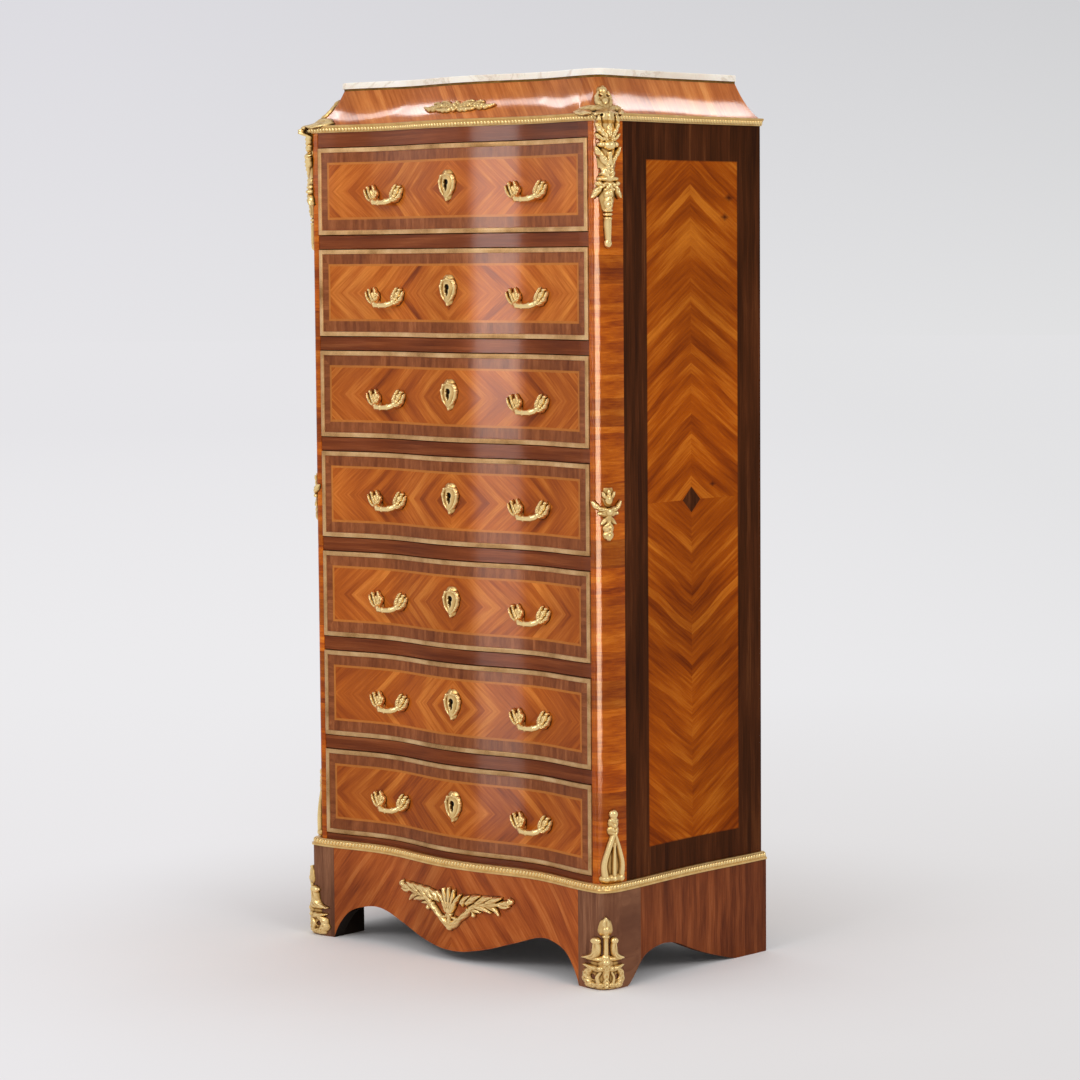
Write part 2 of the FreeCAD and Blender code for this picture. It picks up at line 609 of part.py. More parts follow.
def drawer_box(z0):
    """Two sides, back and bottom, each a piece of its own."""
    low = z0 + DRAWER_GAP
    high = z0 + DRAWER_HEIGHT - BOX_HEADROOM + DRAWER_GAP
    panel = bottom_panel(z0)
    side = box(BOX_HALF - BOX_SIDE, BOX_HALF, FRONT_BACK, BOX_END, low, high).cut(panel)
    inner = BOX_HALF - BOX_SIDE
    foot = low + BOX_BOTTOM_RISE + BOX_BOTTOM
    rear = box(-inner, inner, BOX_END - BOX_SIDE, BOX_END, foot, high - BOX_BACK_DROP)
    return Part.makeCompound([side, mirrored(side), rear, panel])


def ellipsoid(rx, ry, rz, centre):
    ball = Part.makeSphere(1.0)
    scale = FreeCAD.Matrix()
    scale.scale(rx, ry, rz)
    ball = ball.transformGeometry(scale)
    ball.translate(centre)
    return ball


def handle():
    """Fixed cast handle about the origin: a leaf at each end and a dipping grip between them."""
    half = HANDLE_SPAN / 2
    knee, stand = half * GRIP_KNEE, HANDLE_STAND * GRIP_KNEE_STAND
    path = spline(
        [
            V(-half, -GRIP_ROOT, HANDLE_DIP / 2),
            V(-knee, -stand, 0),
            V(0, -HANDLE_STAND, -HANDLE_DIP / 2),
            V(knee, -stand, 0),
            V(half, -GRIP_ROOT, HANDLE_DIP / 2),
        ]
    )
    start = path.valueAt(path.FirstParameter)
    ring = Part.Wire(Part.makeCircle(GRIP_RADIUS, start, path.tangentAt(path.FirstParameter)))
    grip = Part.Wire(path).makePipeShell([ring], True, True)
    leaf = ellipsoid(LEAF_LENGTH / 2, LEAF_THICKNESS / 2, LEAF_WIDTH / 2, V(0, 0, 0))
    leaf = leaf.common(box(-BODY_DEPTH, BODY_DEPTH, -BODY_DEPTH, 0, -HEIGHT, HEIGHT))
    left = leaf.copy()
    left.rotate(V(0, 0, 0), V(0, 1, 0), LEAF_TILT)
    left.translate(V(-half, 0, HANDLE_DIP / 2))
    whole = grip.fuse(left).fuse(mirrored(left))
    return whole.common(box(-BODY_DEPTH, BODY_DEPTH, -BODY_DEPTH, 0, -HEIGHT, HEIGHT))


def escutcheon(z0):
    """Pointed oval plate, curved to the face that it is pinned to."""
    z = z0 + DRAWER_HEIGHT / 2 + ESCUTCHEON_RISE
    half, rise = ESCUTCHEON_WIDTH / 2, ESCUTCHEON_HEIGHT / 2
    edge = spline([V(half * across, 0, z + rise * up) for across, up in ESCUTCHEON_SHAPE])
    face = Part.Face(Part.Wire(Part.__sortEdges__([edge, mirrored(edge)])))
    face.translate(V(0, -FRONT_BACK, 0))
    plate = face.extrude(V(0, 2 * FRONT_BACK, 0))
    slab = serpentine_slab(ESCUTCHEON_WIDTH, -ESCUTCHEON_THICKNESS, 0, z0, z0 + DRAWER_HEIGHT)
    return plate.common(slab).cut(keyhole(keyhole_z(z0), -BODY_DEPTH, FRONT_BACK))


def handles_and_lock(z0, cast):
    """Two handles, the escutcheon and the lock case of one drawer."""
    seat = hollow(HANDLE_PLACE, DRAWER_HALF)
    spot = V(HANDLE_PLACE, seat, z0 + DRAWER_HEIGHT / 2 - HANDLE_DROP)
    face = serpentine_slab(DRAWER_HALF, 0, FRONT_BACK, z0, z0 + DRAWER_HEIGHT)
    right = cast.copy()
    right.translate(spot + V(0, HANDLE_SINK, 0))
    right = right.cut(face)
    return Part.makeCompound([right, mirrored(right), escutcheon(z0), lock_case(z0)])


# ---- gilt mounts ------------------------------------------------------------------------------
def silhouette(profile, bottom, origin, outward, sideways, depth):
    """Block whose outline has the half widths of the profile at heights above the bottom."""
    right = [origin + sideways * half + V(0, 0, bottom + rise) for rise, half in profile]
    left = [origin - sideways * half + V(0, 0, bottom + rise) for rise, half in profile]
    edges = [
        spline(right),
        line(right[-1], left[-1]),
        spline(left),
        line(left[0], right[0]),
    ]
    face = Part.Face(Part.Wire(Part.__sortEdges__(edges)))
    face.translate(outward * (depth / 2))
    return face.extrude(outward * -depth)


def on_corner(profile, bottom, turn, grow, relief, z0, z1):
    """Part of a corner mount that lies on an upright face: the profile, relief thick."""
    point, outward, sideways = corner_point(grow, turn)
    block = silhouette(profile, bottom, point, outward, sideways, 3 * CORNER_Y)
    return block.common(prism(grow + relief, z0, z1)).cut(prism(grow, z0, z1))


def upper_corner_mount():
    """Runs down the post from the cove, over the cornice moulding."""
    relief = CORNER_MOUNT_RELIEF
    bottom = UPPER_MOUNT_BOTTOM
    point, outward, sideways = corner_point(0, CORNER_MOUNT_TURN)
    block = silhouette(UPPER_PROFILE, bottom, point, outward, sideways, 4 * CORNER_Y)
    bead = CORNICE_MOULDING_PROJECTION
    drop = on_corner(UPPER_PROFILE, bottom, CORNER_MOUNT_TURN, 0, relief, bottom, BODY_TOP)
    collar = block.common(prism(bead + relief / 2, BODY_TOP - relief, COVE_BASE + relief / 2))
    collar = collar.cut(prism(0, 0, BODY_TOP)).cut(prism(bead, BODY_TOP, COVE_BASE))
    cove = cove_solid(0)
    crest = block.common(cove_solid(relief)).cut(cove)
    return drop.fuse(collar.cut(cove)).fuse(crest).removeSplitter()


def eye(foot, outward, sideways):
    """Upright slot with a round top and a round foot, through a corner mount."""
    reach = outward * CORNER_Y
    low = foot + sideways * EYE_RADIUS - reach
    across = sideways * (-2 * EYE_RADIUS)
    up = V(0, 0, EYE_LENGTH)
    edges = [
        line(low, low + up),
        Part.Arc(low + up, foot - reach + up + V(0, 0, EYE_RADIUS), low + up + across).toShape(),
        line(low + up + across, low + across),
        Part.Arc(low + across, foot - reach - V(0, 0, EYE_RADIUS), low).toShape(),
    ]
    return Part.Face(Part.Wire(edges)).extrude(reach * 2)


def corner_mounts():
    """Upper, middle and lower mount of each front corner post."""
    relief = CORNER_MOUNT_RELIEF
    middle = on_corner(MIDDLE_PROFILE, MIDDLE_MOUNT_BOTTOM, CORNER_MOUNT_TURN, 0, relief, 0, BODY_TOP)
    lower = on_corner(LOWER_PROFILE, LOWER_MOUNT_BOTTOM, CORNER_MOUNT_TURN, 0, relief, 0, BODY_TOP)
    point, outward, sideways = corner_point(0, CORNER_MOUNT_TURN)
    for side in (-1, 1):
        foot = point + sideways * (side * EYE_PLACE) + V(0, 0, LOWER_MOUNT_BOTTOM + EYE_RISE)
        lower = lower.cut(eye(foot, outward, sideways))
    right = [upper_corner_mount(), middle, lower]
    return Part.makeCompound(right + [mirrored(shape) for shape in right])


def foot_mounts():
    relief = FOOT_MOUNT_RELIEF
    mount = on_corner(
        FOOT_PROFILE, FOOT_MOUNT_BOTTOM, FOOT_MOUNT_TURN, PLINTH_PROJECTION, relief, 0, PLINTH_HEIGHT
    )
    return both_sides(mount)


def front_silhouette(upper, lower, z):
    """Block along Y, symmetric about the centre line, between an upper and a lower half edge."""
    top = spline([V(x, 0, z + rise) for x, rise in upper])
    foot = spline([V(x, 0, z + rise) for x, rise in lower])
    edges = [top, foot, mirrored(top), mirrored(foot)]
    face = Part.Face(Part.Wire(Part.__sortEdges__(edges)))
    face.translate(V(0, -BODY_DEPTH / 4, 0))
    return face.extrude(V(0, BODY_DEPTH / 2, 0))


def apron_mount():
    """Spray of leaves on the middle of the apron."""
    block = front_silhouette(APRON_MOUNT_UPPER, APRON_MOUNT_LOWER, PLINTH_HEIGHT - APRON_MOUNT_DROP)
    grow = PLINTH_PROJECTION
    skin = block.common(prism(grow + APRON_MOUNT_RELIEF, 0, PLINTH_HEIGHT))
    return skin.cut(prism(grow, 0, PLINTH_HEIGHT))


def cornice_mount():
    """Low spray of leaves on the middle of the cove."""
    block = front_silhouette(CORNICE_MOUNT_UPPER, CORNICE_MOUNT_LOWER, COVE_BASE + CORNICE_MOUNT_RISE)
    return block.common(cove_solid(CORNICE_MOUNT_RELIEF)).cut(cove_solid(0))


# ---- assembly ---------------------------------------------------------------------------------
def fixed_nodes():
    cornice_front, cornice_right, cornice_left = cornice_pieces()
    post, panel, foot, side = corner_post(), side_panel(), plinth_foot(), plinth_side()
    return {
        "corner_post_right": post,
        "corner_post_left": mirrored(post),
        "side_panel_right": panel,
        "side_panel_left": mirrored(panel),
        "back_panel": back_panel(),
        "bottom_board": bottom_board(),
        "top_board": top_board(),
        "drawer_rails": drawer_rails(),
        "drawer_runners": drawer_runners(),
        "plinth_front": plinth_front(),
        "plinth_right": side,
        "plinth_left": mirrored(side),
        "plinth_back": plinth_back(),
        "foot_right": foot,
        "foot_left": mirrored(foot),
        "plinth_moulding": plinth_moulding(),
        "cornice_front": cornice_front,
        "cornice_right": cornice_right,
        "cornice_left": cornice_left,
        "cornice_mouldings": cornice_mouldings(),
        "marble_top": marble_top(),
        "corner_mounts": corner_mounts(),
        "foot_mounts": foot_mounts(),
        "apron_mount": apron_mount(),
        "cornice_mount": cornice_mount(),
    }


def drawer_nodes():
    cast = handle()
    nodes = {}
    for number in range(1, DRAWER_COUNT + 1):
        z0 = drawer_floor(number)
        name = f"drawer_{number}_"
        nodes[name + "front"] = drawer_front(z0)
        nodes[name + "box"] = drawer_box(z0)
        nodes[name + "edging"] = drawer_edging(z0)
        nodes[name + "handles_and_lock"] = handles_and_lock(z0, cast)
        nodes[name + "bolt"] = lock_bolt(z0)
    return nodes


def main():
    nodes = fixed_nodes()
    nodes.update(drawer_nodes())
    front = -PLINTH_PROJECTION - APRON_MOUNT_RELIEF
    shift = V(0, -(front + BODY_DEPTH) / 2, 0)
    os.makedirs("parts", exist_ok=True)
    for name, shape in nodes.items():
        shape.translate(shift)
        shape.exportStep(f"parts/{name}.step")
        print(name, len(shape.Solids), round(shape.Volume), shape.isValid())


main()
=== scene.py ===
import math
import bpy
import numpy as np
from mathutils import Matrix, Quaternion, Vector


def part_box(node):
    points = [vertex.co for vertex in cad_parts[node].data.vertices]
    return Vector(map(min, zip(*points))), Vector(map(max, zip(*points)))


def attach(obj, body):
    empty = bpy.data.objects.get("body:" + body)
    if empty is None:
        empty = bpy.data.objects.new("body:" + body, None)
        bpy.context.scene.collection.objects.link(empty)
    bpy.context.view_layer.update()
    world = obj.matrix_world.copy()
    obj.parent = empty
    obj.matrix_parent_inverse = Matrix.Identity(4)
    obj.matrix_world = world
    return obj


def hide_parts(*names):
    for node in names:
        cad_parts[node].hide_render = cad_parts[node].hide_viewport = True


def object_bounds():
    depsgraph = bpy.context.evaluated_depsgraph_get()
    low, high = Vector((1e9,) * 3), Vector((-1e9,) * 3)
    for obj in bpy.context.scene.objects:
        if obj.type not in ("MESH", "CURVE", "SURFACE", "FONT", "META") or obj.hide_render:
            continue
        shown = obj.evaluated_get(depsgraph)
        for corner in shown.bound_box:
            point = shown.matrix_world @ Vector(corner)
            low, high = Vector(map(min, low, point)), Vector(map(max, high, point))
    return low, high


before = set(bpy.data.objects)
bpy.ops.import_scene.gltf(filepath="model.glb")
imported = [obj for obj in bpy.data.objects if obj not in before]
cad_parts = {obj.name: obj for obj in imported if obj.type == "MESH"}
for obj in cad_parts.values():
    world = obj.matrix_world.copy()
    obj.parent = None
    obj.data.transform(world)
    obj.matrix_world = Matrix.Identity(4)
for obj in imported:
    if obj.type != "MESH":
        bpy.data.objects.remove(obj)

CAD_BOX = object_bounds()
MM = 0.001

# ---- the chest's own sizes, in millimetres, as the frame has them


def node_box(name):
    """Lowest and highest corner of a frame node, in millimetres."""
    return [[value / MM for value in corner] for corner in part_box(name)]


POST_LOW, POST_HIGH = node_box("corner_post_right")
FIRST_LOW, FIRST_HIGH = node_box("drawer_1_front")

DRAWERS = 7
HALF = POST_HIGH[0]                       # half the width of the body
FRONT = POST_LOW[1]                       # the front plane, along Y
DEPTH = node_box("side_panel_right")[1][1] - FRONT
PLINTH_TOP = POST_LOW[2]
BODY_TOP = POST_HIGH[2]
COVE_FOOT, COVE_TOP = (corner[2] for corner in node_box("cornice_front"))
MARBLE_FOOT = node_box("marble_top")[0][2]
DRAWER_HALF = FIRST_HIGH[0]
DRAWER_HEIGHT = FIRST_HIGH[2] - FIRST_LOW[2]
DRAWER_FOOT = node_box(f"drawer_{DRAWERS}_front")[0][2]     # of the lowest drawer
PITCH = (FIRST_LOW[2] - DRAWER_FOOT) / (DRAWERS - 1)

# plan of the chest
HOLLOW = 18.0
HOLLOW_PLACE = 0.54
SHOULDER = 8.0
SIDE_HOLLOW = 6.0
CORNER = (20.0, 40.0)
TOP_CORNER = (12.0, 14.0)
FILLET_CORNER = (5.0, 6.0)
FILLET_WIDTH = 8.0
COVE_INSET = (2.0, 41.0)
COVE_BELLY = 6.0
COVE_BELLY_POWER = 0.8
COVE_BACK_INSET = 12.0
PLINTH_GROW = 10.0
MOULDING_GROW = 12.0
MOULDING_HEIGHT = 12.0
CORNICE_GROW = 8.0
GADROON_PITCH = 6.4
GADROON_LENGTH = 5.6
GADROON_LEAN = 24.0                       # degrees

# drawer furniture
EDGING_WIDTH = 7.6
EDGING_PROUD = 2.0
EDGING_SUNK = 2.8
HANDLE_PLACE = 156.0
HANDLE_DROP = 10.0
GRIP_HALF = [(-22, -6, -4), (-19.5, -11, -6.5), (-13, -15, -8.8), (-5, -16.5, -9.6)]
GRIP_MIDDLE = (0, -17.2, -9.6)
GRIP_RADII = [4.4, 5.0, 4.7, 4.2, 4.0, 4.2, 4.7, 5.0, 4.4]
GRIP_RINGS = ((0.0, -17.2, -9.6, 5.4), (-13.5, -14.8, -8.4, 5.8), (13.5, -14.8, -8.4, 5.8))
ESCUTCHEON_RISE = 4.0
KEYHOLE_RISE = 4.0
KEYHOLE = ((3.4, -11.0, 0.5), (4.8, -3.0, 6.4))             # half width, foot and top of its two steps
LOCK_FRONT = 20.0
LOCK_HALF = 28.0
LOCK_HEIGHT = 80.0
LOCK_GAP = 0.3                            # round the bolt

# veneers
STRINGING_WIDTH = 3.6
STRINGING_SIDE = 20.0                     # end of a drawer front to the stringing
STRINGING_TOP = 23.5
STRINGING_FOOT = 24.5
DRAWER_GRAIN = 40.0                       # degrees from level
SIDE_FIELD = (104.0, 321.0, 206.0, 1262.5)
SIDE_GRAIN = 33.0
DIAMOND_PLACE = 738.0
DIAMOND = (21.0, 20.0)
KNOTS = ((292.0, 1176.0, 8.0), (302.0, 1206.0, 9.0), (262.0, 760.0, 6.0))   # along Y, height, reach
APRON_GRAIN = 52.0
LEAF_HEIGHT = 43.0                        # of the cross-grained leaves on a corner

# camera
CAMERA_PLACE = (3.55165, -3.80080, 1.11496)
CAMERA_TURN = 42.86
CAMERA_DIP = 5.0
CAMERA_ROLL = -0.45
LENS = 107.536


def rgb(red, green, blue):
    """Linear colour from display values of 0 to 255."""
    out = []
    for value in (red, green, blue):
        share = value / 255
        out.append(share / 12.92 if share <= 0.04045 else ((share + 0.055) / 1.055) ** 2.4)
    return (*out, 1.0)


def tones(places, *colours):
    """Stops of a colour ramp."""
    return [(place, rgb(*colour)) for place, colour in zip(places, colours)]


# ---- node graphs
def arithmetic(operation):
    return lambda value, other=0.0: value.graph.math(operation, value, other)


class Value:
    """The output of a node. Arithmetic with it adds math nodes to its graph."""

    __add__, __sub__ = arithmetic("ADD"), arithmetic("SUBTRACT")
    __mul__, __truediv__ = arithmetic("MULTIPLY"), arithmetic("DIVIDE")
    __abs__ = arithmetic("ABSOLUTE")

    def __init__(self, graph, socket):
        self.graph, self.socket = graph, socket

    def __rsub__(self, other):
        return self.graph.math("SUBTRACT", other, self)


class Graph:
    """A shader tree, with short calls for the nodes that the finishes share."""

    def __init__(self, tree, coordinates="Object"):
        self.nodes, self.links = tree.nodes, tree.links
        self.nodes.clear()
        self.place = self.value("TexCoord", output=coordinates)
        self.x, self.y, self.z = self.split(self.place)

    def feed(self, socket, value):
        if isinstance(value, Value):
            self.links.new(value.socket, socket)
        elif value is not None:
            socket.default_value = value

    def node(self, kind, *values, **settings):
        """A node with its inputs fed in order. None leaves an input as it is."""
        node = self.nodes.new("ShaderNode" + kind)
        for name, setting in settings.items():
            setattr(node, name, setting)
        for socket, value in zip(node.inputs, values):
            self.feed(socket, value)
        return node

    def value(self, kind, *values, output=0, **settings):
        return Value(self, self.node(kind, *values, **settings).outputs[output])

    def split(self, vector):
        return [Value(self, socket) for socket in self.node("SeparateXYZ", vector).outputs]

    def vector(self, x, y, z):
        return self.value("CombineXYZ", x, y, z)

    def math(self, operation, first, second=0.0, third=0.0):
        return self.value("Math", first, second, third, operation=operation)

    def sign(self, value):
        return self.math("SIGN", value)

    def sum(self, *terms):
        """Sum of (value, factor) pairs."""
        total = 0.0
        for value, factor in terms:
            total = self.math("MULTIPLY_ADD", value, factor, total)
        return total

    def choose(self, share, first, second):
        """First where share is 0, second where it is 1."""
        return self.math("MULTIPLY_ADD", second - first, share, first)

    def noise(self, vector, scale=1.0, detail=2.0, rough=0.5, distortion=0.0):
        node = self.node("TexNoise", vector)
        given = {"Scale": scale, "Detail": detail, "Roughness": rough, "Distortion": distortion}
        for name, setting in given.items():
            self.feed(node.inputs[name], setting)
        return Value(self, node.outputs["Fac"])

    def span(self, value, low, high, first=0.0, last=1.0, smooth=False):
        """Maps low..high to first..last, and holds the ends."""
        kind = "SMOOTHSTEP" if smooth else "LINEAR"
        return self.value("MapRange", value, low, high, first, last, interpolation_type=kind)

    def ramp(self, value, stops):
        node = self.node("ValToRGB", value)
        elements = node.color_ramp.elements
        while len(elements) < len(stops):
            elements.new(0.5)
        for element, (place, colour) in zip(elements, stops):
            element.position = place
            element.color = colour
        return Value(self, node.outputs[0])

    def mix(self, share, first, second, blend="MIX"):
        """Blend of two colours."""
        skipped = [None] * 5                  # the sockets for numbers and vectors
        return self.value("Mix", share, *skipped, first, second, output=2, data_type="RGBA", blend_type=blend)

    def shaded(self, colour, shade):
        """The colour times a grey."""
        return self.mix(1.0, colour, self.vector(shade, shade, shade), "MULTIPLY")

    def bump(self, height, depth, strength=1.0):
        node = self.node("Bump")
        for name, setting in (("Height", height), ("Distance", depth), ("Strength", strength)):
            self.feed(node.inputs[name], setting)
        return Value(self, node.outputs[0])


class Finish(Graph):
    """The graph of a material."""

    def __init__(self, name):
        self.material = bpy.data.materials.new(name)
        self.material.use_nodes = True
        super().__init__(self.material.node_tree)

    def surface(self, colour, rough, metal=0.0, normal=None, **constants):
        shader = self.node("BsdfPrincipled")
        given = {"Base_Color": colour, "Roughness": rough, "Metallic": metal, "Normal": normal, **constants}
        for name, setting in given.items():
            self.feed(shader.inputs[name.replace("_", " ")], setting)
        self.node("OutputMaterial", Value(self, shader.outputs[0]))
        return self.material


# ---- finishes
FIGURED = (0.30, 0.42, 0.52, 0.66)
CROSSED = (0.30, 0.44, 0.55, 0.70)
STRAIGHT = (0.30, 0.45, 0.56, 0.70)
PLAIN = (0.30, 0.45, 0.58, 0.72)
TULIPWOOD = tones(FIGURED, (104, 42, 8), (146, 67, 14), (172, 87, 22), (206, 124, 48))
SIDE_WOOD = tones(FIGURED, (80, 26, 0), (126, 52, 2), (154, 71, 4), (192, 108, 26))
APRON_WOOD = tones(FIGURED, (98, 42, 14), (136, 62, 22), (160, 80, 30), (182, 105, 50))
POST_WOOD = tones(CROSSED, (104, 36, 0), (150, 64, 0), (180, 89, 6), (212, 124, 34))
PLINTH_WOOD = tones(CROSSED, (68, 27, 10), (98, 46, 20), (120, 60, 28), (146, 82, 44))
CORNICE_WOOD = tones(CROSSED, (124, 56, 14), (164, 86, 30), (190, 110, 48), (214, 140, 74))
ROSEWOOD = tones(STRAIGHT, (40, 15, 4), (58, 27, 6), (73, 35, 12), (100, 55, 25))
CROSSBAND = tones(STRAIGHT, (90, 42, 18), (120, 63, 30), (138, 77, 40), (160, 98, 57))
RAIL_WOOD = tones(STRAIGHT, (78, 32, 11), (103, 47, 18), (120, 59, 26), (146, 82, 43))
FOOT_WOOD = tones(STRAIGHT, (80, 46, 31), (108, 68, 47), (132, 88, 62), (156, 110, 84))
OAK = tones(PLAIN, (120, 88, 50), (158, 122, 76), (180, 144, 96), (200, 168, 122))
PINE = tones(PLAIN, (128, 92, 54), (166, 128, 82), (188, 152, 104), (206, 174, 130))
# near-black tones: painted shade, for inner faces and for the boards that lie in shade under the chest
PAINTED_SHADE_TONES = tones(PLAIN, (26, 17, 11), (36, 25, 17), (44, 31, 22), (56, 42, 31))
STRINGING = rgb(188, 116, 48), rgb(166, 94, 34)
SEAM = rgb(60, 24, 8)
KNOT = rgb(52, 16, 4)


def grain(f, along, across, seed, wood, band=0.022, stretch=11.0):
    """Veneer colour and grain height, from how far a point lies along and across the grain."""

    def streaks(over, up, shift, **settings):
        third = f.math("ADD", seed, shift) if shift else seed
        return f.noise(f.vector(across * over, along * up, third), **settings)

    figure = streaks(1 / band, 1 / (band * stretch), 0.0, detail=2.0, rough=0.45, distortion=0.25)
    streak = streaks(6.5 / band, 1.6 / band / stretch * 2.2, 7.3, detail=3.0, rough=0.6)
    fibre = streaks(1500.0, 45.0, 17.9, detail=2.0, rough=0.6)
    pores = streaks(2300.0, 190.0, 31.1, detail=1.0)
    wander = f.noise(f.vector(along * 9.0, seed, 0.0), detail=1.0)
    strip = f.math("FLOOR", f.sum((across, 1 / (0.45 * band)), (wander, 1.6)))
    leaf = f.noise(f.vector(strip * 0.73, seed, along * 7.0), detail=0.0)
    tone = f.sum((figure, 0.28), (leaf, 0.30), (streak, 0.30), (fibre, 0.12))
    open_pore = f.span(pores, 0.64, 0.74)
    colour = f.mix(open_pore * 0.35, f.ramp(tone, wood), wood[0][1])
    return colour, fibre - open_pore


def leaning(f, beside, above, degrees):
    """Along and across a grain that leans by that much from level."""
    sine, cosine = math.sin(math.radians(degrees)), math.cos(math.radians(degrees))
    return f.sum((beside, cosine), (above, -sine)), f.sum((beside, sine), (above, cosine))


def matched(f, beside, above, degrees):
    """Along and across the grain of four matched leaves that meet at the middle."""
    return leaning(f, abs(beside), abs(above), degrees)


def patched(f, colour, amount, scale=5.0):
    """Lightens and darkens a veneer in broad patches, as sun and handling do."""
    patch = f.noise(f.place, scale=scale, detail=2.0)
    return f.shaded(colour, f.span(patch, 0.35, 0.65, 1 - amount, 1 + amount))


def polish(f, colour, height, coat=0.25, coat_rough=0.2, wavy=1.0):
    """French polish: a clear coat over the veneer, slightly uneven and dulled in patches."""
    wave = f.noise(f.place, scale=9.0, detail=2.0)
    dull = f.noise(f.place, scale=34.0, detail=3.0)
    return f.surface(
        colour, f.span(dull, 0.3, 0.7, 0.31, 0.44),
        normal=f.bump(f.sum((wave, wavy), (height, 0.02)), 0.0012, 0.5),
        Coat_Weight=coat, Coat_Roughness=coat_rough, Coat_IOR=1.5, Specular_IOR_Level=0.0,
    )


def painted_inner_shade(f, colour):
    """Painted shade: near black on the cut edges and inner faces of a plinth board, where shade falls; its
    outer face keeps its colour.
    """
    facing = f.split(f.value("NewGeometry", output="True Normal"))
    outer = f.math("MAXIMUM", facing[0] * f.sign(f.x), facing[1] * -1.0)
    return f.mix(f.span(outer, 0.25, 0.5), PAINTED_SHADE_TONES[0][1], colour)


def drawer_veneer():
    """Matched tulipwood, a light stringing line and dark crossbanding, afresh on each drawer."""
    f = Finish("drawer_veneer")
    rise = f.z - DRAWER_FOOT * MM
    number = f.math("FLOOR", rise / (PITCH * MM))
    local = rise - number * (PITCH * MM)
    seed = f.sum((number, 5.3), (f.sign(f.x), 0.06))
    leaves = matched(f, f.x, local - DRAWER_HEIGHT / 2 * MM, DRAWER_GRAIN)
    field, height = grain(f, *leaves, seed, TULIPWOOD)
    from_end = (DRAWER_HALF - STRINGING_SIDE) * MM - abs(f.x)
    from_top = (DRAWER_HEIGHT - STRINGING_TOP) * MM - local
    level = f.math("MINIMUM", from_top, local - STRINGING_FOOT * MM)
    inside = f.math("MINIMUM", from_end, level)
    upright = f.math("LESS_THAN", from_end, level)
    along, across = f.choose(upright, f.z, f.x), f.choose(upright, f.x, f.z)
    band, _ = grain(f, along, across, seed + 2.0, CROSSBAND, band=0.012, stretch=3.0)
    thread = f.mix(f.noise(f.place, scale=240.0, detail=2.0), *STRINGING)
    colour = f.mix(f.span(inside, -0.0003, 0.0003), band, thread)
    core = f.span(inside, (STRINGING_WIDTH - 0.3) * MM, (STRINGING_WIDTH + 0.3) * MM)
    return polish(f, patched(f, f.mix(core, colour, field), 0.12), height)


def side_veneer():
    """Matched tulipwood with a small diamond at the middle, inside a dark border."""
    f = Finish("side_veneer")
    low_y, high_y, low_z, high_z = SIDE_FIELD
    beside = f.y - ((low_y + high_y) / 2 + FRONT) * MM
    above = f.z - DIAMOND_PLACE * MM
    seed = f.sum((f.sign(above), 3.1), (f.sign(beside), 0.08))
    field, height = grain(f, *matched(f, beside, above, SIDE_GRAIN), seed, SIDE_WOOD, 0.03, 10.0)
    from_side = (high_y - low_y) / 2 * MM - abs(beside)
    from_ends = f.math("MINIMUM", high_z * MM - f.z, f.z - low_z * MM)
    inside = f.math("MINIMUM", from_side, from_ends)
    border, _ = grain(f, f.z, f.y, 4.4, ROSEWOOD, 0.02, 12.0)
    colour = f.mix(f.span(inside, -0.0004, 0.0004), border, field)
    edge = f.span(abs(inside - 0.0006), 0.0, 0.0012, 1.0, 0.0)
    colour = f.mix(edge * 0.5, colour, SEAM)
    diamond, _ = grain(f, f.z, f.y, 9.2, ROSEWOOD, 0.01, 6.0)
    reach = f.sum((abs(beside), 1 / (DIAMOND[0] * MM)), (abs(above), 1 / (DIAMOND[1] * MM)))
    colour = f.mix(f.span(reach, 0.98, 1.02, 1.0, 0.0), colour, diamond)
    for y, z, reach in KNOTS:
        gap = f.sum((abs(f.y - (y + FRONT) * MM), 0.6), (abs(f.z - z * MM), 1.0))
        colour = f.mix(f.span(gap, 0.0, reach * MM, 0.95, 0.0), colour, KNOT)
    return polish(f, patched(f, colour, 0.16, 3.0), height, coat=0.1)


def banded_veneer(name, wood, along, across, band, stretch, inner_shade_painted=False):
    """A veneer whose grain runs along one axis of the chest; its last flag paints shade on the cut edges and
    inner faces.
    """
    f = Finish(name)
    colour, height = grain(f, getattr(f, along), getattr(f, across), 2.7, wood, band, stretch)
    colour = patched(f, colour, 0.15)
    return polish(f, painted_inner_shade(f, colour) if inner_shade_painted else colour, height, coat=0.2)


def post_veneer():
    """Cross-grained leaves of slightly different tones, one over another up the corner."""
    f = Finish("post_veneer")
    leaf = f.math("FLOOR", f.z / (LEAF_HEIGHT * MM))
    side = f.sign(f.x)
    seed = f.sum((leaf, 3.7), (side, 0.9))
    colour, height = grain(f, f.x + f.y, f.z, seed, POST_WOOD, 0.02, 5.0)
    tone = f.noise(f.vector(leaf * 0.77, side, 0.0), detail=0.0)
    colour = f.shaded(colour, f.span(tone, 0.32, 0.68, 0.72, 1.2))
    return polish(f, patched(f, colour, 0.08), height, coat=0.3, coat_rough=0.14)


def apron_veneer():
    """Leaning grain, matched at the middle of the apron, with painted shade on its cut edges and inner faces.
    """
    f = Finish("apron_veneer")
    leaves = leaning(f, abs(f.x), f.z, APRON_GRAIN)
    colour, height = grain(f, *leaves, f.sign(f.x) * 0.1, APRON_WOOD, 0.018, 9.0)
    return polish(f, painted_inner_shade(f, patched(f, colour, 0.15)), height)


def cornice_veneer():
    """Cross-grained veneer that leans a little along the cove."""
    f = Finish("cornice_veneer")
    run = f.x + f.y
    along = f.sum((f.z, 0.9), (run, -0.45))
    across = f.sum((run, 0.9), (f.z, 0.45))
    colour, height = grain(f, along, across, 6.1, CORNICE_WOOD, 0.03, 5.0)
    return polish(f, patched(f, colour, 0.15), height, coat=0.5, coat_rough=0.15, wavy=0.1)


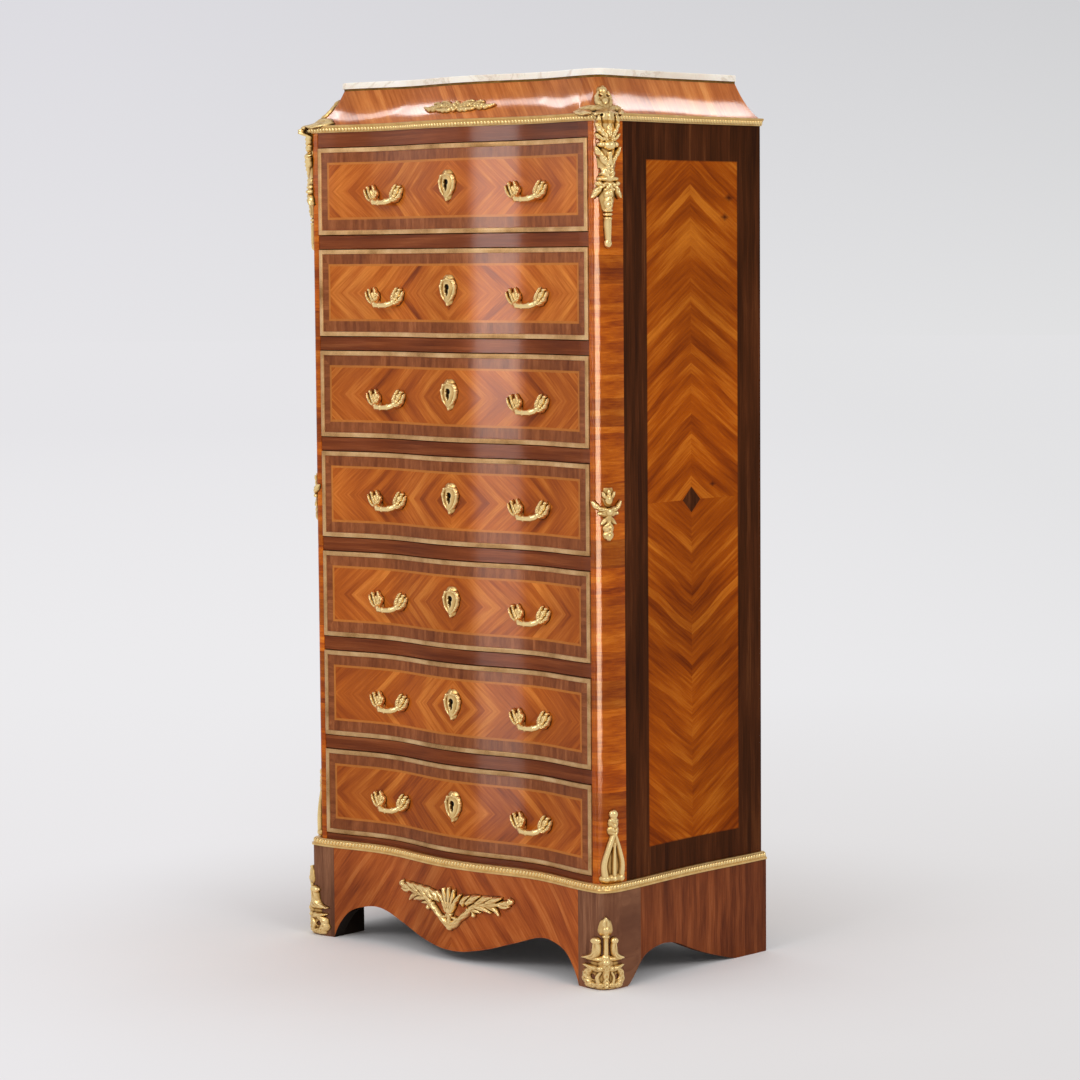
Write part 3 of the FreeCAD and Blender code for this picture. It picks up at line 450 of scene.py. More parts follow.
def gilt():
    """Gilt brass: bright on the high places, brown in the hollows; the brown is partly real dirt and wear,
    partly painted shade in the recesses.
    """
    f = Finish("gilt")
    # per-point gilt tone from the mesh: low in recesses, partly painted shade
    depth = f.value("Attribute", output="Fac", attribute_name="wear_and_shade")
    patch = f.noise(f.place, scale=60.0, detail=4.0, rough=0.65)
    fine = f.noise(f.place, scale=900.0, detail=2.0)
    stops = tones((0.36, 0.54, 0.74, 1.0), (46, 28, 8), (132, 96, 46), (206, 164, 98), (246, 216, 152))
    colour = f.ramp(f.sum((depth, 1.0), (patch, 0.35), (fine, 0.08)), stops)
    rough = f.span(depth + patch * 0.3, 0.35, 0.9, 0.5, 0.26)
    normal = f.bump(f.sum((fine, 0.5), (patch, 0.6)), 0.0004, 0.6)
    return f.surface(colour, rough, metal=1.0, normal=normal, Specular_IOR_Level=0.5)


def strip_brass():
    """Drawn brass edging, brushed along by polishing and a little tarnished; its colour is painted lighter on
    the upper drawers and darker low down, as light falls from above.
    """
    f = Finish("strip_brass")
    patch = f.noise(f.place, scale=22.0, detail=4.0, rough=0.6)
    rub = f.noise(f.vector(f.x * 60.0, f.z * 60.0, f.y), scale=14.0, detail=3.0)
    stops = tones((0.32, 0.48, 0.66), (150, 108, 62), (202, 158, 106), (232, 194, 142))
    # painted light: colour scaled from darker low down to brighter up high
    colour = f.shaded(f.ramp(f.sum((patch, 0.7), (rub, 0.3)), stops), f.span(f.z, 0.3, 1.25, 0.84, 1.14))
    rough = f.span(patch, 0.3, 0.7, 0.42, 0.3)
    return f.surface(colour, rough, metal=1.0, normal=f.bump(rub, 0.0003, 0.5))


def marble():
    f = Finish("marble")
    cloud = f.noise(f.place, scale=7.0, detail=5.0, rough=0.6, distortion=0.8)
    veins = f.noise(f.place, scale=4.5, detail=6.0, rough=0.65, distortion=1.6)
    vein = f.span(abs(veins - 0.5), 0.0, 0.03, 1.0, 0.0)
    colour = f.ramp(cloud, tones((0.3, 0.5, 0.7), (226, 212, 194), (244, 235, 221), (250, 246, 238)))
    colour = f.mix(vein * 0.4, colour, rgb(186, 160, 132))
    rough = f.span(cloud, 0.3, 0.7, 0.34, 0.22)
    return f.surface(colour, rough, Coat_Weight=0.15, Coat_Roughness=0.1, Subsurface_Weight=0.05)


def plain_wood(name, wood, along, across, band):
    """Unpolished wood of the inner parts."""
    f = Finish(name)
    colour, height = grain(f, getattr(f, along), getattr(f, across), 5.1, wood, band, 14.0)
    return f.surface(patched(f, colour, 0.1), 0.62, normal=f.bump(height, 0.0003, 0.6))


def steel():
    f = Finish("steel")
    rub = f.noise(f.vector(f.x * 900.0, f.z * 40.0, f.y), detail=3.0)
    colour = f.ramp(rub, tones((0.3, 0.7), (96, 94, 92), (168, 168, 170)))
    return f.surface(colour, f.span(rub, 0.3, 0.7, 0.45, 0.28), metal=1.0, normal=f.bump(rub, 0.0002, 0.5))


# painted shade: near-black finish for the block behind the keyhole
def keyhole_painted_shade():
    f = Finish("keyhole_painted_shade")
    dust = f.noise(f.place, scale=400.0, detail=2.0)
    return f.surface(f.ramp(dust, tones((0.3, 0.7), (8, 6, 5), (22, 16, 12))), 0.8)


DRAWER_FINISH = drawer_veneer()
SIDE_FINISH = side_veneer()
POST_FINISH = post_veneer()
RAIL_FINISH = banded_veneer("rail_veneer", RAIL_WOOD, "x", "z", 0.01, 20.0)
APRON_FINISH = apron_veneer()
# the plinth sides and feet get painted shade, near black, on their inner faces and cut edges
PLINTH_FINISH = banded_veneer("plinth_veneer", PLINTH_WOOD, "z", "y", 0.016, 10.0, inner_shade_painted=True)
FOOT_FINISH = banded_veneer("foot_veneer", FOOT_WOOD, "z", "x", 0.016, 9.0, inner_shade_painted=True)
CORNICE_FINISH = cornice_veneer()
GILT = gilt()
BRASS = strip_brass()
MARBLE = marble()
LINING = plain_wood("oak_lining", OAK, "y", "z", 0.012)
CARCASS_WOOD = plain_wood("pine", PINE, "z", "x", 0.02)
# near-black pine: painted shade on the bottom board and plinth back, dark because they lie in shade under the
# chest
PAINTED_SHADE_PINE = plain_wood("pine_painted_shade", PAINTED_SHADE_TONES, "x", "z", 0.02)
STEEL = steel()
KEYHOLE_PAINTED_SHADE = keyhole_painted_shade()

FINISHED = [
    (SIDE_FINISH, "side_panel_left side_panel_right"),
    (POST_FINISH, "corner_post_left corner_post_right"),
    (CARCASS_WOOD, "back_panel top_board drawer_runners"),
    # painted shade: the bottom board and plinth back in near-black pine
    (PAINTED_SHADE_PINE, "bottom_board plinth_back"),
    (RAIL_FINISH, "drawer_rails"),
    (APRON_FINISH, "plinth_front"),
    (PLINTH_FINISH, "plinth_left plinth_right"),
    (FOOT_FINISH, "foot_left foot_right"),
    (CORNICE_FINISH, "cornice_front cornice_left cornice_right"),
    (MARBLE, "marble_top"),
    (GILT, "plinth_moulding cornice_mouldings corner_mounts foot_mounts apron_mount cornice_mount"),
]
for number in range(1, DRAWERS + 1):
    FINISHED += [
        (DRAWER_FINISH, f"drawer_{number}_front"), (LINING, f"drawer_{number}_box"),
        (BRASS, f"drawer_{number}_edging"), (GILT, f"drawer_{number}_handles_and_lock"),
        (STEEL, f"drawer_{number}_bolt"),
    ]
NODE_FINISH = {node: finish for finish, nodes in FINISHED for node in nodes.split()}
for name, finish in NODE_FINISH.items():
    for material_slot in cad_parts[name].material_slots:
        material_slot.material = finish


# ---- plan of the chest
def hollow(x, half):
    """Depth of the serpentine front behind the front plane."""
    power = math.log(0.5) / math.log(HOLLOW_PLACE)
    share = np.minimum(1.0, np.abs(x) / half)
    return HOLLOW * np.sin(np.pi * share ** power) ** 2


FRONT_POINTS, CORNER_POINTS, SIDE_POINTS = 120, 28, 60
NEAR_CORNER = slice(60, 190)              # the plan points that a corner mount can reach


def half_plan(grow, corner=CORNER, back=DEPTH):
    """Plan points from the centre line round the right-hand corner to the back."""
    reach = HALF + grow - corner[0]
    turn = corner[1] - grow
    x = np.linspace(0, reach, FRONT_POINTS)
    front = np.stack([x, hollow(x, reach - SHOULDER) - grow], 1)
    angle = np.linspace(0, math.pi / 2, CORNER_POINTS + 1)[1:]
    round_corner = np.stack([reach + corner[0] * np.sin(angle), turn - corner[1] * np.cos(angle)], 1)
    share = np.linspace(0, 1, SIDE_POINTS + 1)[1:]
    side_x = HALF + grow - SIDE_HOLLOW * np.sin(math.pi * share) ** 2
    side = np.stack([side_x, turn + (back - turn) * share], 1)
    return np.concatenate([front, round_corner, side])


def whole_plan(grow, corner=CORNER, back=DEPTH):
    """The same from the back on the left, round the front, to the back on the right."""
    right = half_plan(grow, corner, back)
    return np.concatenate([right[1:][::-1] * [-1, 1], right])


def at_height(plan, z):
    return np.column_stack([plan, np.full(len(plan), z)])


def outward(points):
    """Unit normals that point out of the chest, for plan points that run left to right."""
    step = np.gradient(points, axis=0)
    return unit(np.stack([step[:, 1], -step[:, 0]], 1))


def unit(vectors):
    return vectors / np.linalg.norm(vectors, axis=1, keepdims=True)


def drawer_foot(number):
    return DRAWER_FOOT + (DRAWERS - number) * PITCH


# ---- mesh building
def make_piece(name, mesh, body, node, wear_and_shade):
    """Piece that rides on a body in the stead of one of its frame nodes."""
    layer = mesh.attributes.new("wear_and_shade", "FLOAT", "POINT")
    layer.data.foreach_set("value", np.asarray(wear_and_shade, np.float32))
    piece = bpy.data.objects.new(name, mesh)
    bpy.context.collection.objects.link(piece)
    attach(piece, body)
    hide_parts(node)


class Parts:
    """Shells that become one piece. Points are in millimetres, Y from the front plane."""

    def __init__(self):
        self.points, self.faces, self.wear_and_shade = [], [], []
        self.count = 0

    def add(self, points, faces, wear_and_shade=0.5):
        points = np.asarray(points, float).reshape(-1, 3)
        self.points.append(points)
        self.faces += [tuple(corner + self.count for corner in face) for face in faces]
        self.wear_and_shade.append(np.broadcast_to(wear_and_shade, len(points)))
        self.count += len(points)

    def loft(self, loops, wear_and_shade=0.5):
        """Joins closed loops of points one by one, and caps the ends."""
        loops = np.asarray(loops, float)
        rows, columns = loops.shape[:2]
        faces = []
        for start in range(0, (rows - 1) * columns, columns):
            for column in range(columns):
                a, b = start + column, start + (column + 1) % columns
                faces.append((a, b, b + columns, a + columns))
        faces.append(tuple(reversed(range(columns))))
        faces.append(tuple(range((rows - 1) * columns, rows * columns)))
        self.add(loops, faces, wear_and_shade)

    def block(self, x0, x1, y0, y1, z0, z1):
        self.loft([[(x0, y0, z), (x1, y0, z), (x1, y1, z), (x0, y1, z)] for z in (z0, z1)])

    def piece(self, name, material, body, node, smooth_below=40.0):
        points = np.concatenate(self.points) * MM
        points[:, 1] += FRONT * MM
        mesh = bpy.data.meshes.new(name)
        mesh.from_pydata(points.tolist(), [], self.faces)
        mesh.validate()
        mesh.materials.append(material)
        mesh.shade_smooth()
        mesh.set_sharp_from_angle(angle=math.radians(smooth_below))
        make_piece(name, mesh, body, node, np.concatenate(self.wear_and_shade))


# ---- drawer edging
def edging_profile():
    """Half-round section: (distance over the width, height over the drawer face)."""
    half, low = EDGING_WIDTH / 2, 0.4
    crown = [(half - (half - 0.1) * math.cos(angle), low + (EDGING_PROUD - low) * math.sin(angle) ** 0.7)
             for angle in np.linspace(0, math.pi, 9)]
    return [(0.0, -EDGING_SUNK), (0.0, 0.2), *crown, (EDGING_WIDTH, 0.2), (EDGING_WIDTH, -EDGING_SUNK)]


def drawer_edging(number):
    """A strip along each edge of a drawer front."""
    foot = drawer_foot(number)
    strips = Parts()

    def strip(way, shares, spot):
        loops = []
        for share in shares:
            spots = [(*spot(share, over), height) for over, height in edging_profile()]
            loop = [(x, float(hollow(x, DRAWER_HALF)) - height, z) for x, z, height in spots]
            loops.append(loop if way < 0 else loop[::-1])
        strips.loft(loops)

    for level, way in ((foot, 1), (foot + DRAWER_HEIGHT, -1)):
        strip(way, np.linspace(-1, 1, 181),
              lambda share, over: (share * (DRAWER_HALF - over), level + way * over))
    for way in (-1, 1):
        strip(way, np.linspace(0, 1, 5),
              lambda share, over: (way * (DRAWER_HALF - over),
                                   foot + over + (DRAWER_HEIGHT - 2 * over) * share))
    strips.piece(f"drawer_{number}_brass_edging", BRASS, f"drawer_{number}", f"drawer_{number}_edging")


for number in range(1, DRAWERS + 1):
    drawer_edging(number)


# ---- gadrooned mouldings
GADROON_SIZES = ("Pitch", "Lobe length", "Lobe height", "Lobe depth", "Lean")
GADROON_NODES = {
    "given": "NodeGroupInput", "result": "NodeGroupOutput",
    "curve": "GeometryNodeMeshToCurve", "points": "GeometryNodeCurveToPoints",
    "ball": "GeometryNodeMeshUVSphere", "size": "ShaderNodeCombineXYZ", "turn": "ShaderNodeCombineXYZ",
    "shape": "GeometryNodeTransform", "lean": "GeometryNodeTransform",
    "aim": "FunctionNodeAlignRotationToVector", "copies": "GeometryNodeInstanceOnPoints",
    "real": "GeometryNodeRealizeInstances", "smooth": "GeometryNodeSetShadeSmooth",
    "finish": "GeometryNodeSetMaterial",
}
GADROON_LINKS = (
    ("given", "Line", "curve", 0), ("curve", 0, "points", "Curve"), ("given", "Pitch", "points", "Length"),
    ("given", "Lobe length", "size", 0), ("given", "Lobe depth", "size", 1),
    ("given", "Lobe height", "size", 2), ("size", 0, "shape", "Scale"), ("ball", "Mesh", "shape", "Geometry"),
    ("given", "Lean", "turn", 1), ("turn", 0, "lean", "Rotation"), ("shape", 0, "lean", "Geometry"),
    ("points", "Points", "copies", "Points"), ("points", "Tangent", "aim", "Vector"),
    ("lean", 0, "copies", "Instance"), ("aim", 0, "copies", "Rotation"), ("copies", 0, "real", 0),
    ("real", 0, "smooth", 0), ("smooth", 0, "finish", 0), ("given", "Finish", "finish", "Material"),
    ("finish", 0, "result", 0),
)


def gadroon_tree():
    """Geometry Nodes: leaning lobes at an even pitch along a line."""
    tree = bpy.data.node_groups.new("gadroons", "GeometryNodeTree")
    kinds = {"Line": "Geometry", **dict.fromkeys(GADROON_SIZES, "Float"), "Finish": "Material"}
    for name, kind in kinds.items():
        tree.interface.new_socket(name, in_out="INPUT", socket_type="NodeSocket" + kind)
    tree.interface.new_socket("Gadroons", in_out="OUTPUT", socket_type="NodeSocketGeometry")
    nodes = {name: tree.nodes.new(kind) for name, kind in GADROON_NODES.items()}
    nodes["points"].mode = "LENGTH"
    nodes["aim"].axis, nodes["aim"].pivot_axis = "X", "Z"
    for name, setting in (("Segments", 10), ("Rings", 6), ("Radius", 0.5)):
        nodes["ball"].inputs[name].default_value = setting
    for start, out, end, into in GADROON_LINKS:
        tree.links.new(nodes[start].outputs[out], nodes[end].inputs[into])
    return tree


GADROONS = gadroon_tree()


def gadroons(name, node, grow, z, height, depth, lean):
    """Lobes round front and sides, as one plain mesh."""
    angle = math.radians(lean)
    reach = math.hypot(GADROON_LENGTH * math.cos(angle), height * math.sin(angle)) / 2
    points = at_height(whole_plan(grow, back=DEPTH - reach - 0.2), z) * MM
    points[:, 1] += FRONT * MM
    path = bpy.data.meshes.new(name + "_line")
    path.from_pydata(points.tolist(), [(i, i + 1) for i in range(len(points) - 1)], [])
    carrier = bpy.data.objects.new(name + "_line", path)
    bpy.context.collection.objects.link(carrier)
    modifier = carrier.modifiers.new("gadroons", "NODES")
    modifier.node_group = GADROONS
    lengths = (size * MM for size in (GADROON_PITCH, GADROON_LENGTH, height, depth))
    given = {**dict(zip(GADROON_SIZES, (*lengths, angle))), "Finish": GILT}
    for item in GADROONS.interface.items_tree:
        if item.name in given:
            modifier[item.identifier] = given[item.name]
    evaluated = carrier.evaluated_get(bpy.context.evaluated_depsgraph_get())
    mesh = bpy.data.meshes.new_from_object(evaluated)
    bpy.data.objects.remove(carrier)
    mesh.name = name
    spots = np.zeros(len(mesh.vertices) * 3)
    mesh.vertices.foreach_get("co", spots)
    # gilt tone darker towards the top and bottom of each lobe: painted shade in the creases round the lobes
    above = np.abs(spots.reshape(-1, 3)[:, 2] / MM - z) / (height / 2)
    make_piece(name, mesh, "carcass", node, 0.82 - 0.3 * above ** 2)


def gilt_bar(name, node, loops, wear_and_shade=0.6):
    bar = Parts()
    bar.loft(np.stack(loops, 1), wear_and_shade)
    bar.piece(name, GILT, "carcass", node, smooth_below=30.0)


def moulding(name, node, profile):
    """Bar whose closed section, of (distance outwards, height) points, goes round front and sides."""
    gilt_bar(name, node, [at_height(whole_plan(grow), z) for grow, z in profile])


def plinth_moulding():
    low, high, out = PLINTH_TOP, PLINTH_TOP + MOULDING_HEIGHT, MOULDING_GROW
    moulding("plinth_moulding_bar", "plinth_moulding", [
        (0.0, low), (0.0, high), (out - 6.5, high), (out - 5.2, high - 1.0), (out - 3.2, high - 3.0),
        (out - 2.4, high - 6.0), (out - 1.6, low + 3.4), (out, low + 3.0), (out, low),
    ])
    gadroons("plinth_gadroons", "plinth_moulding", out - 3.4, low + 7.0, 9.0, 5.0, GADROON_LEAN)


def cornice_mouldings():
    """The gadrooned bar under the cove, and the plain fillet under the marble."""
    low, high, out = BODY_TOP, COVE_FOOT, CORNICE_GROW
    node = "cornice_mouldings"
    moulding("cornice_moulding_bar", node, [
        (out - 14.0, low), (out - 14.0, high), (out - 3.0, high), (out, high - 0.8), (out, high - 3.2),
        (out - 1.4, high - 3.8), (out - 2.4, high - 6.0), (out - 3.6, low + 2.0), (out - 5.0, low),
    ])
    gadroons("cornice_gadroons", node, out - 3.6, low + 4.9, 8.4, 5.4, -GADROON_LEAN)
    inset, back = -COVE_INSET[1], DEPTH - COVE_BACK_INSET
    outer = whole_plan(inset, TOP_CORNER, back)
    inner = whole_plan(inset - FILLET_WIDTH, FILLET_CORNER, back)
    loops = ((inner, COVE_TOP), (inner, MARBLE_FOOT), (outer, MARBLE_FOOT), (outer, COVE_TOP))
    # dark gilt tone for the fillet: partly duller old brass, partly painted shade under the marble's overhang
    gilt_bar("cornice_fillet", node, [at_height(plan, z) for plan, z in loops], 0.3)


plinth_moulding()
cornice_mouldings()


# ---- cast and chased relief
def smooth_line(points, count=40):
    """Points of a Catmull-Rom line through the given ones."""
    points = np.asarray(points, float)
    if len(points) == 2:
        return points[0] + (points[1] - points[0]) * np.linspace(0, 1, count)[:, None]
    ends = np.concatenate([[2 * points[0] - points[1]], points, [2 * points[-1] - points[-2]]])
    place = np.linspace(0, len(points) - 1 - 1e-9, count)
    knot = place.astype(int)
    t = (place - knot)[:, None]
    p0, p1, p2, p3 = (ends[knot + shift] for shift in range(4))
    square, cube = (2 * p0 - 5 * p1 + 4 * p2 - p3) * t ** 2, (3 * p1 - p0 - 3 * p2 + p3) * t ** 3
    return 0.5 * (2 * p1 + (p2 - p0) * t + square + cube)


def along_line(share, values):
    """Values at even steps of a line, read at that share of it."""
    values = np.atleast_1d(values)
    return np.interp(share, np.linspace(0, 1, len(values)), values)


def blurred(height, rounds):
    """The height field, averaged with its neighbours that many times."""
    out = np.maximum(height, 0.0)
    for _ in range(rounds):
        out = (out + np.roll(out, 1, 0) + np.roll(out, -1, 0) + np.roll(out, 1, 1) + np.roll(out, -1, 1)) / 5
    return out


# furthest that relief reaches sideways and forwards, so that it stays within the chest's own box
LIMIT = (CAD_BOX[1][0] / MM - 0.3, CAD_BOX[0][1] / MM - FRONT + 0.3)
SUNK = 0.8                                # how deep a mount's skirt goes into the wood
BACK_SUNK = SUNK + 0.3


class Relief:
    """Height field of a cast mount over the face that it is pinned to, in millimetres.

    Its forms are strokes (points, widths, height, lobes, vein), beads (place, radius, height, tall) and
    holes (place, radius, tall, lean); the last two entries may be left out. With mirror, each form is on
    both sides of the middle.
    """

    def __init__(self, half_width, low, high, step=0.7, mirror=True, strokes=(), beads=(), holes=()):
        count = int(round(half_width / step))
        self.across = np.arange(-count, count + 1) * step
        self.up = np.arange(low, high + step, step)
        self.s, self.t = np.meshgrid(self.across, self.up)
        self.height = np.full(self.s.shape, -4.0)
        for form in strokes:
            self.stroke(mirror, *form)
        for form in beads:
            self.bead(mirror, *form)
        for form in holes:
            self.pierce(*form)

    def stroke(self, mirror, points, widths, height, lobes=0, vein=0.0):
        """Leaf or scroll along a smooth line: rounded, with a scalloped edge and cut veins."""
        line = smooth_line(points)
        share = np.linspace(0, 1, len(line))
        s = np.abs(self.s) if mirror else self.s
        gap = np.hypot(s[..., None] - line[:, 0], self.t[..., None] - line[:, 1])
        ratios = gap / (along_line(share, widths) / 2)
        ratio, along = ratios.min(-1), share[ratios.argmin(-1)]
        if lobes:
            ratio = ratio / (0.84 + 0.26 * np.abs(np.sin(math.pi * lobes * along)))
        body = along_line(along, height) * (1 - ratio ** 2)
        if vein:
            body -= vein * np.exp(-(ratio / 0.16) ** 2)
            if lobes:
                inside = np.clip(1 - ratio, 0, 1)
                body += vein * 0.7 * inside * np.cos(2 * math.pi * (2 * lobes * along - 1.1 * ratio))
        self.height = np.maximum(self.height, body)

    def bead(self, mirror, place, radius, height, tall=1.0):
        s = np.abs(self.s) if mirror else self.s
        ratio = np.hypot(s - place[0], (self.t - place[1]) / tall) / radius
        dome = np.where(ratio < 1, np.sqrt(np.clip(1 - ratio ** 2, 0, 1)), 1 - ratio)
        self.height = np.maximum(self.height, dome * height)

    def pierce(self, place, radius, tall=1.0, lean=0.0):
        angle = math.radians(lean)
        s, t = np.abs(self.s) - place[0], self.t - place[1]
        a = s * math.cos(angle) + t * math.sin(angle)
        b = (t * math.cos(angle) - s * math.sin(angle)) / tall
        ratio = np.hypot(a, b) / radius
        self.height = np.minimum(self.height, 14.0 * (ratio ** 2 - 1))

    def build(self, parts, place, flip=False, edge=0.9):
        """Adds a closed shell that keeps within LIMIT. place gives the points and normals of one row."""
        height = self.height + edge * np.tanh(self.height / 0.45)
        # gilt tone per point: recesses below their surroundings darker, high places brighter; partly real
        # dirt and wear, partly painted shade in the recesses
        fine, broad = height - blurred(height, 3), height - blurred(height, 16)
        wear_and_shade = np.clip(0.5 + 0.24 * fine + 0.13 * broad + 0.02 * height, 0, 1)
        base, normal = (np.stack(rows) for rows in zip(*(place(self.across, up) for up in self.up)))
        top = base + normal * np.maximum(height, -SUNK)[..., None]
        top[..., 0] = np.clip(top[..., 0], -LIMIT[0], LIMIT[0])
        top[..., 1] = np.maximum(top[..., 1], LIMIT[1])
        back = base - normal * BACK_SUNK
        corner = height > -0.3
        cell = corner[:-1, :-1] | corner[1:, :-1] | corner[:-1, 1:] | corner[1:, 1:]
        rows, columns = cell.shape
        used = np.zeros(height.shape, bool)
        for down, over in ((0, 0), (1, 0), (0, 1), (1, 1)):
            used[down:rows + down, over:columns + over] |= cell
        number = np.cumsum(used).reshape(used.shape) - 1
        total = int(used.sum())
        r, c = np.nonzero(cell)
        a, b, d, e = number[r, c], number[r, c + 1], number[r + 1, c + 1], number[r + 1, c]
        faces = [np.column_stack([a, b, d, e]), np.column_stack([a, e, d, b]) + total]
        outside = np.pad(~cell, 1, constant_values=True)
        for first, second, down, over in ((a, b, 0, 1), (b, d, 1, 2), (d, e, 2, 1), (e, a, 1, 0)):
            rim = outside[r + down, c + over]
            p, q = first[rim], second[rim]
            faces.append(np.column_stack([q, p, p + total, q + total]))
        faces = np.concatenate(faces)
        if flip:
            faces = faces[:, ::-1]
        parts.add(np.concatenate([top[used], back[used]]), faces.tolist(), np.tile(wear_and_shade[used], 2))


# ---- where mounts are pinned
def corner_place(turn, shape_at, side, bottom):
    """Place function for mounts on a front corner, with heights from the foot of the mount.

    shape_at gives (grow, corner axes, lean) by height.
    """
    angle = math.radians(turn)
    out = np.array([math.cos(angle) / CORNER[0], -math.sin(angle) / CORNER[1]])
    out /= np.linalg.norm(out)
    sideways = np.array([-out[1], out[0]])

    def place(across, up):
        grow, corner, lean = shape_at(up + bottom)
        middle = np.array([HALF + grow - corner[0] * (1 - math.cos(angle)),
                           corner[1] - grow - corner[1] * math.sin(angle)])
        plan = half_plan(grow, corner)[NEAR_CORNER]
        where = (plan - middle) @ sideways
        points, normals = (
            np.column_stack([np.interp(across, where, layer[:, i]) for i in (0, 1)])
            for layer in (plan, outward(plan))
        )
        return at_height(points, up + bottom) * [side, 1, 1], unit(at_height(normals, lean)) * [side, 1, 1]

    return place


def cove_shape(z):
    """Grow, corner axes and lean of the cove at a height."""
    share = min(1.0, max(0.0, (z - COVE_FOOT) / (COVE_TOP - COVE_FOOT)))
    corner = tuple(low + (high - low) * share for low, high in zip(CORNER, TOP_CORNER))
    low, high = COVE_INSET
    inset = low + (high - low) * share + COVE_BELLY * math.sin(math.pi * share ** COVE_BELLY_POWER)
    return -inset, corner, 0.75 - 0.45 * share


def post_shape(z):
    """The post below, the bead of the cornice moulding, and the cove above it."""
    cove_start = COVE_FOOT + 3
    if z > cove_start:
        return cove_shape(z)
    grow_above, corner, lean = cove_shape(cove_start)
    marks = [BODY_TOP - 5, BODY_TOP + 0.5, COVE_FOOT - 1.5, cove_start]
    grow = float(np.interp(z, marks, [0, CORNICE_GROW + 0.6, CORNICE_GROW + 0.6, grow_above]))
    share = float(np.interp(z, marks[2:], [0, 1]))
    return grow, tuple(a + (b - a) * share for a, b in zip(CORNER, corner)), lean * share


def plinth_shape(z):
    return PLINTH_GROW, CORNER, 0.0


def front_place(grow, half, z_middle, x_middle=0.0):
    """Place function on an upright serpentine face."""
    def place(across, up):
        x = np.asarray(across, float) + x_middle
        slope = hollow(x + 0.5, half) - hollow(x - 0.5, half)
        normal = unit(np.column_stack([slope, -np.ones(len(x)), np.zeros(len(x))]))
        return np.column_stack([x, hollow(x, half) - grow, np.full(len(x), z_middle + up)]), normal

    return place


def cove_place(z_middle):
    """Place function on the front of the cove."""
    def place(across, up):
        grow, corner, lean = cove_shape(z_middle + up)
        half = HALF + grow - corner[0] - SHOULDER
        points, normal = front_place(grow, half, z_middle)(across, up)
        normal[:, 2] = lean
        return points, unit(normal)

    return place


def pinned(name, node, jobs, body="carcass", edge=0.9):
    """One piece from (relief, place function, flipped) jobs, in the stead of a frame node."""
    parts = Parts()
    for relief, place, flipped in jobs:
        relief.build(parts, place, flipped, edge)
    parts.piece(name, GILT, body, node, smooth_below=70.0)


# ---- mounts
# crest with two eyes on the cove, scrolls over the moulding, a bold leafy boss and a long husk
UPPER_MOUNT = Relief(
    34, -4, 242, step=0.75,
    strokes=[
        ([(0, 204), (0, 226), (0, 238)], [26, 26, 18, 8], 3.8, 2, 0.5),
        ([(7, 208), (10, 218), (7, 230)], [10, 9, 4], 4.8, 2, 0.5),
        ([(3, 199), (12, 205), (21, 205), (28, 200), (26, 196)], [11, 11, 9, 7, 5], 4.6, 3, 0.6),
        ([(0, 198), (16, 196)], [13, 12, 7], 4.2),
        ([(0, 98), (0, 130), (0, 160), (0, 192)], [26, 30, 34, 34, 29], 8.6),
        ([(0, 164), (0, 180), (0, 198)], [12, 12, 9, 5], 12.4, 2, 1.4),
        ([(4, 162), (10, 172), (13, 181), (13, 193)], [12, 12, 10, 5], 11.6, 2, 1.4),
        ([(3, 158), (10, 160), (16, 167)], [12, 11, 5], 11.0, 2, 1.2),
        ([(2, 120), (7, 130), (12, 138), (16, 147)], [13, 12, 11, 5], 12.6, 2, 1.4),
        ([(0, 124), (0, 138)], [12, 11], 13.6, 0, 1.0),
        ([(0, 102), (0, 116), (0, 128)], [28, 21, 13], 12.8, 2, 1.6),
        ([(0, 100), (11, 100)], [14, 14, 11], 10.6),
        ([(0, 56), (0, 76), (0, 94)], [18, 28, 30], 6.4),
        ([(0, 92), (9, 90), (14, 83), (19, 72)], [15, 13, 11, 5], 10.0, 2, 1.2),
        ([(0, 90), (0, 72), (0, 56)], [21, 19, 14], 11.0, 2, 1.5),
        ([(0, 40), (0, 24), (0, 8)], [13, 13, 11.5, 9.5], 8.4, 0, 0.6),
    ],
    beads=[
        ((0, 233), 6.4, 6.0), ((0, 215), 6.0, 6.4), ((8.5, 212), 4.2, 5.6), ((24, 199), 4.0, 5.2),
        ((0, 150), 9.6, 18.0), ((9.5, 151), 6.0, 13.0), ((13.0, 93), 5.0, 11.6), ((5.4, 84), 3.6, 11.6),
        ((0, 77), 4.8, 12.6), ((0, 53), 7.6, 9.0, 0.52), ((0, 47), 7.2, 9.0, 0.52), ((0, 41), 6.6, 9.0, 0.52),
        ((0, 4), 5.8, 7.4, 1.3),
    ],
    holes=[((5.6, 224), 2.2), ((9.6, 194.5), 1.7), ((12.5, 112), 2.4, 1.7), ((14.5, 156), 1.8, 1.6)],
)
# palmette and bulb over a star with two horned arms, and a bulbous drop
MIDDLE_MOUNT = Relief(
    26, -2, 78,
    strokes=[
        ([(0, 56), (0, 75)], [14, 21, 16], 1.4),
        ([(0, 62), (0, 75)], [10, 9, 5], 5.0, 2, 0.7),
        ([(2, 62), (7, 67), (9, 72)], [7, 7, 4], 4.6, 1, 0.5),
        ([(2, 44), (10, 46), (16, 50), (20, 58)], [10, 10, 8, 4], 5.6, 2, 0.7),
        ([(0, 41), (13, 40)], [15, 12, 6], 5.0, 1, 0.5),
        ([(0, 38), (0, 24)], [13, 10], 5.0, 0, 0.4),
        ([(2, 34), (7, 28), (11, 24)], [8, 8, 5], 4.4, 1, 0.5),
        ([(0, 26), (0, 12), (0, 2)], [9, 18, 18, 12], 5.6, 2, 1.0),
    ],
    beads=[((0, 60), 6.0, 6.4, 1.3), ((0, 42), 6.6, 7.2), ((13, 40), 3.6, 5.4), ((0, 5), 6.6, 5.8)],
)
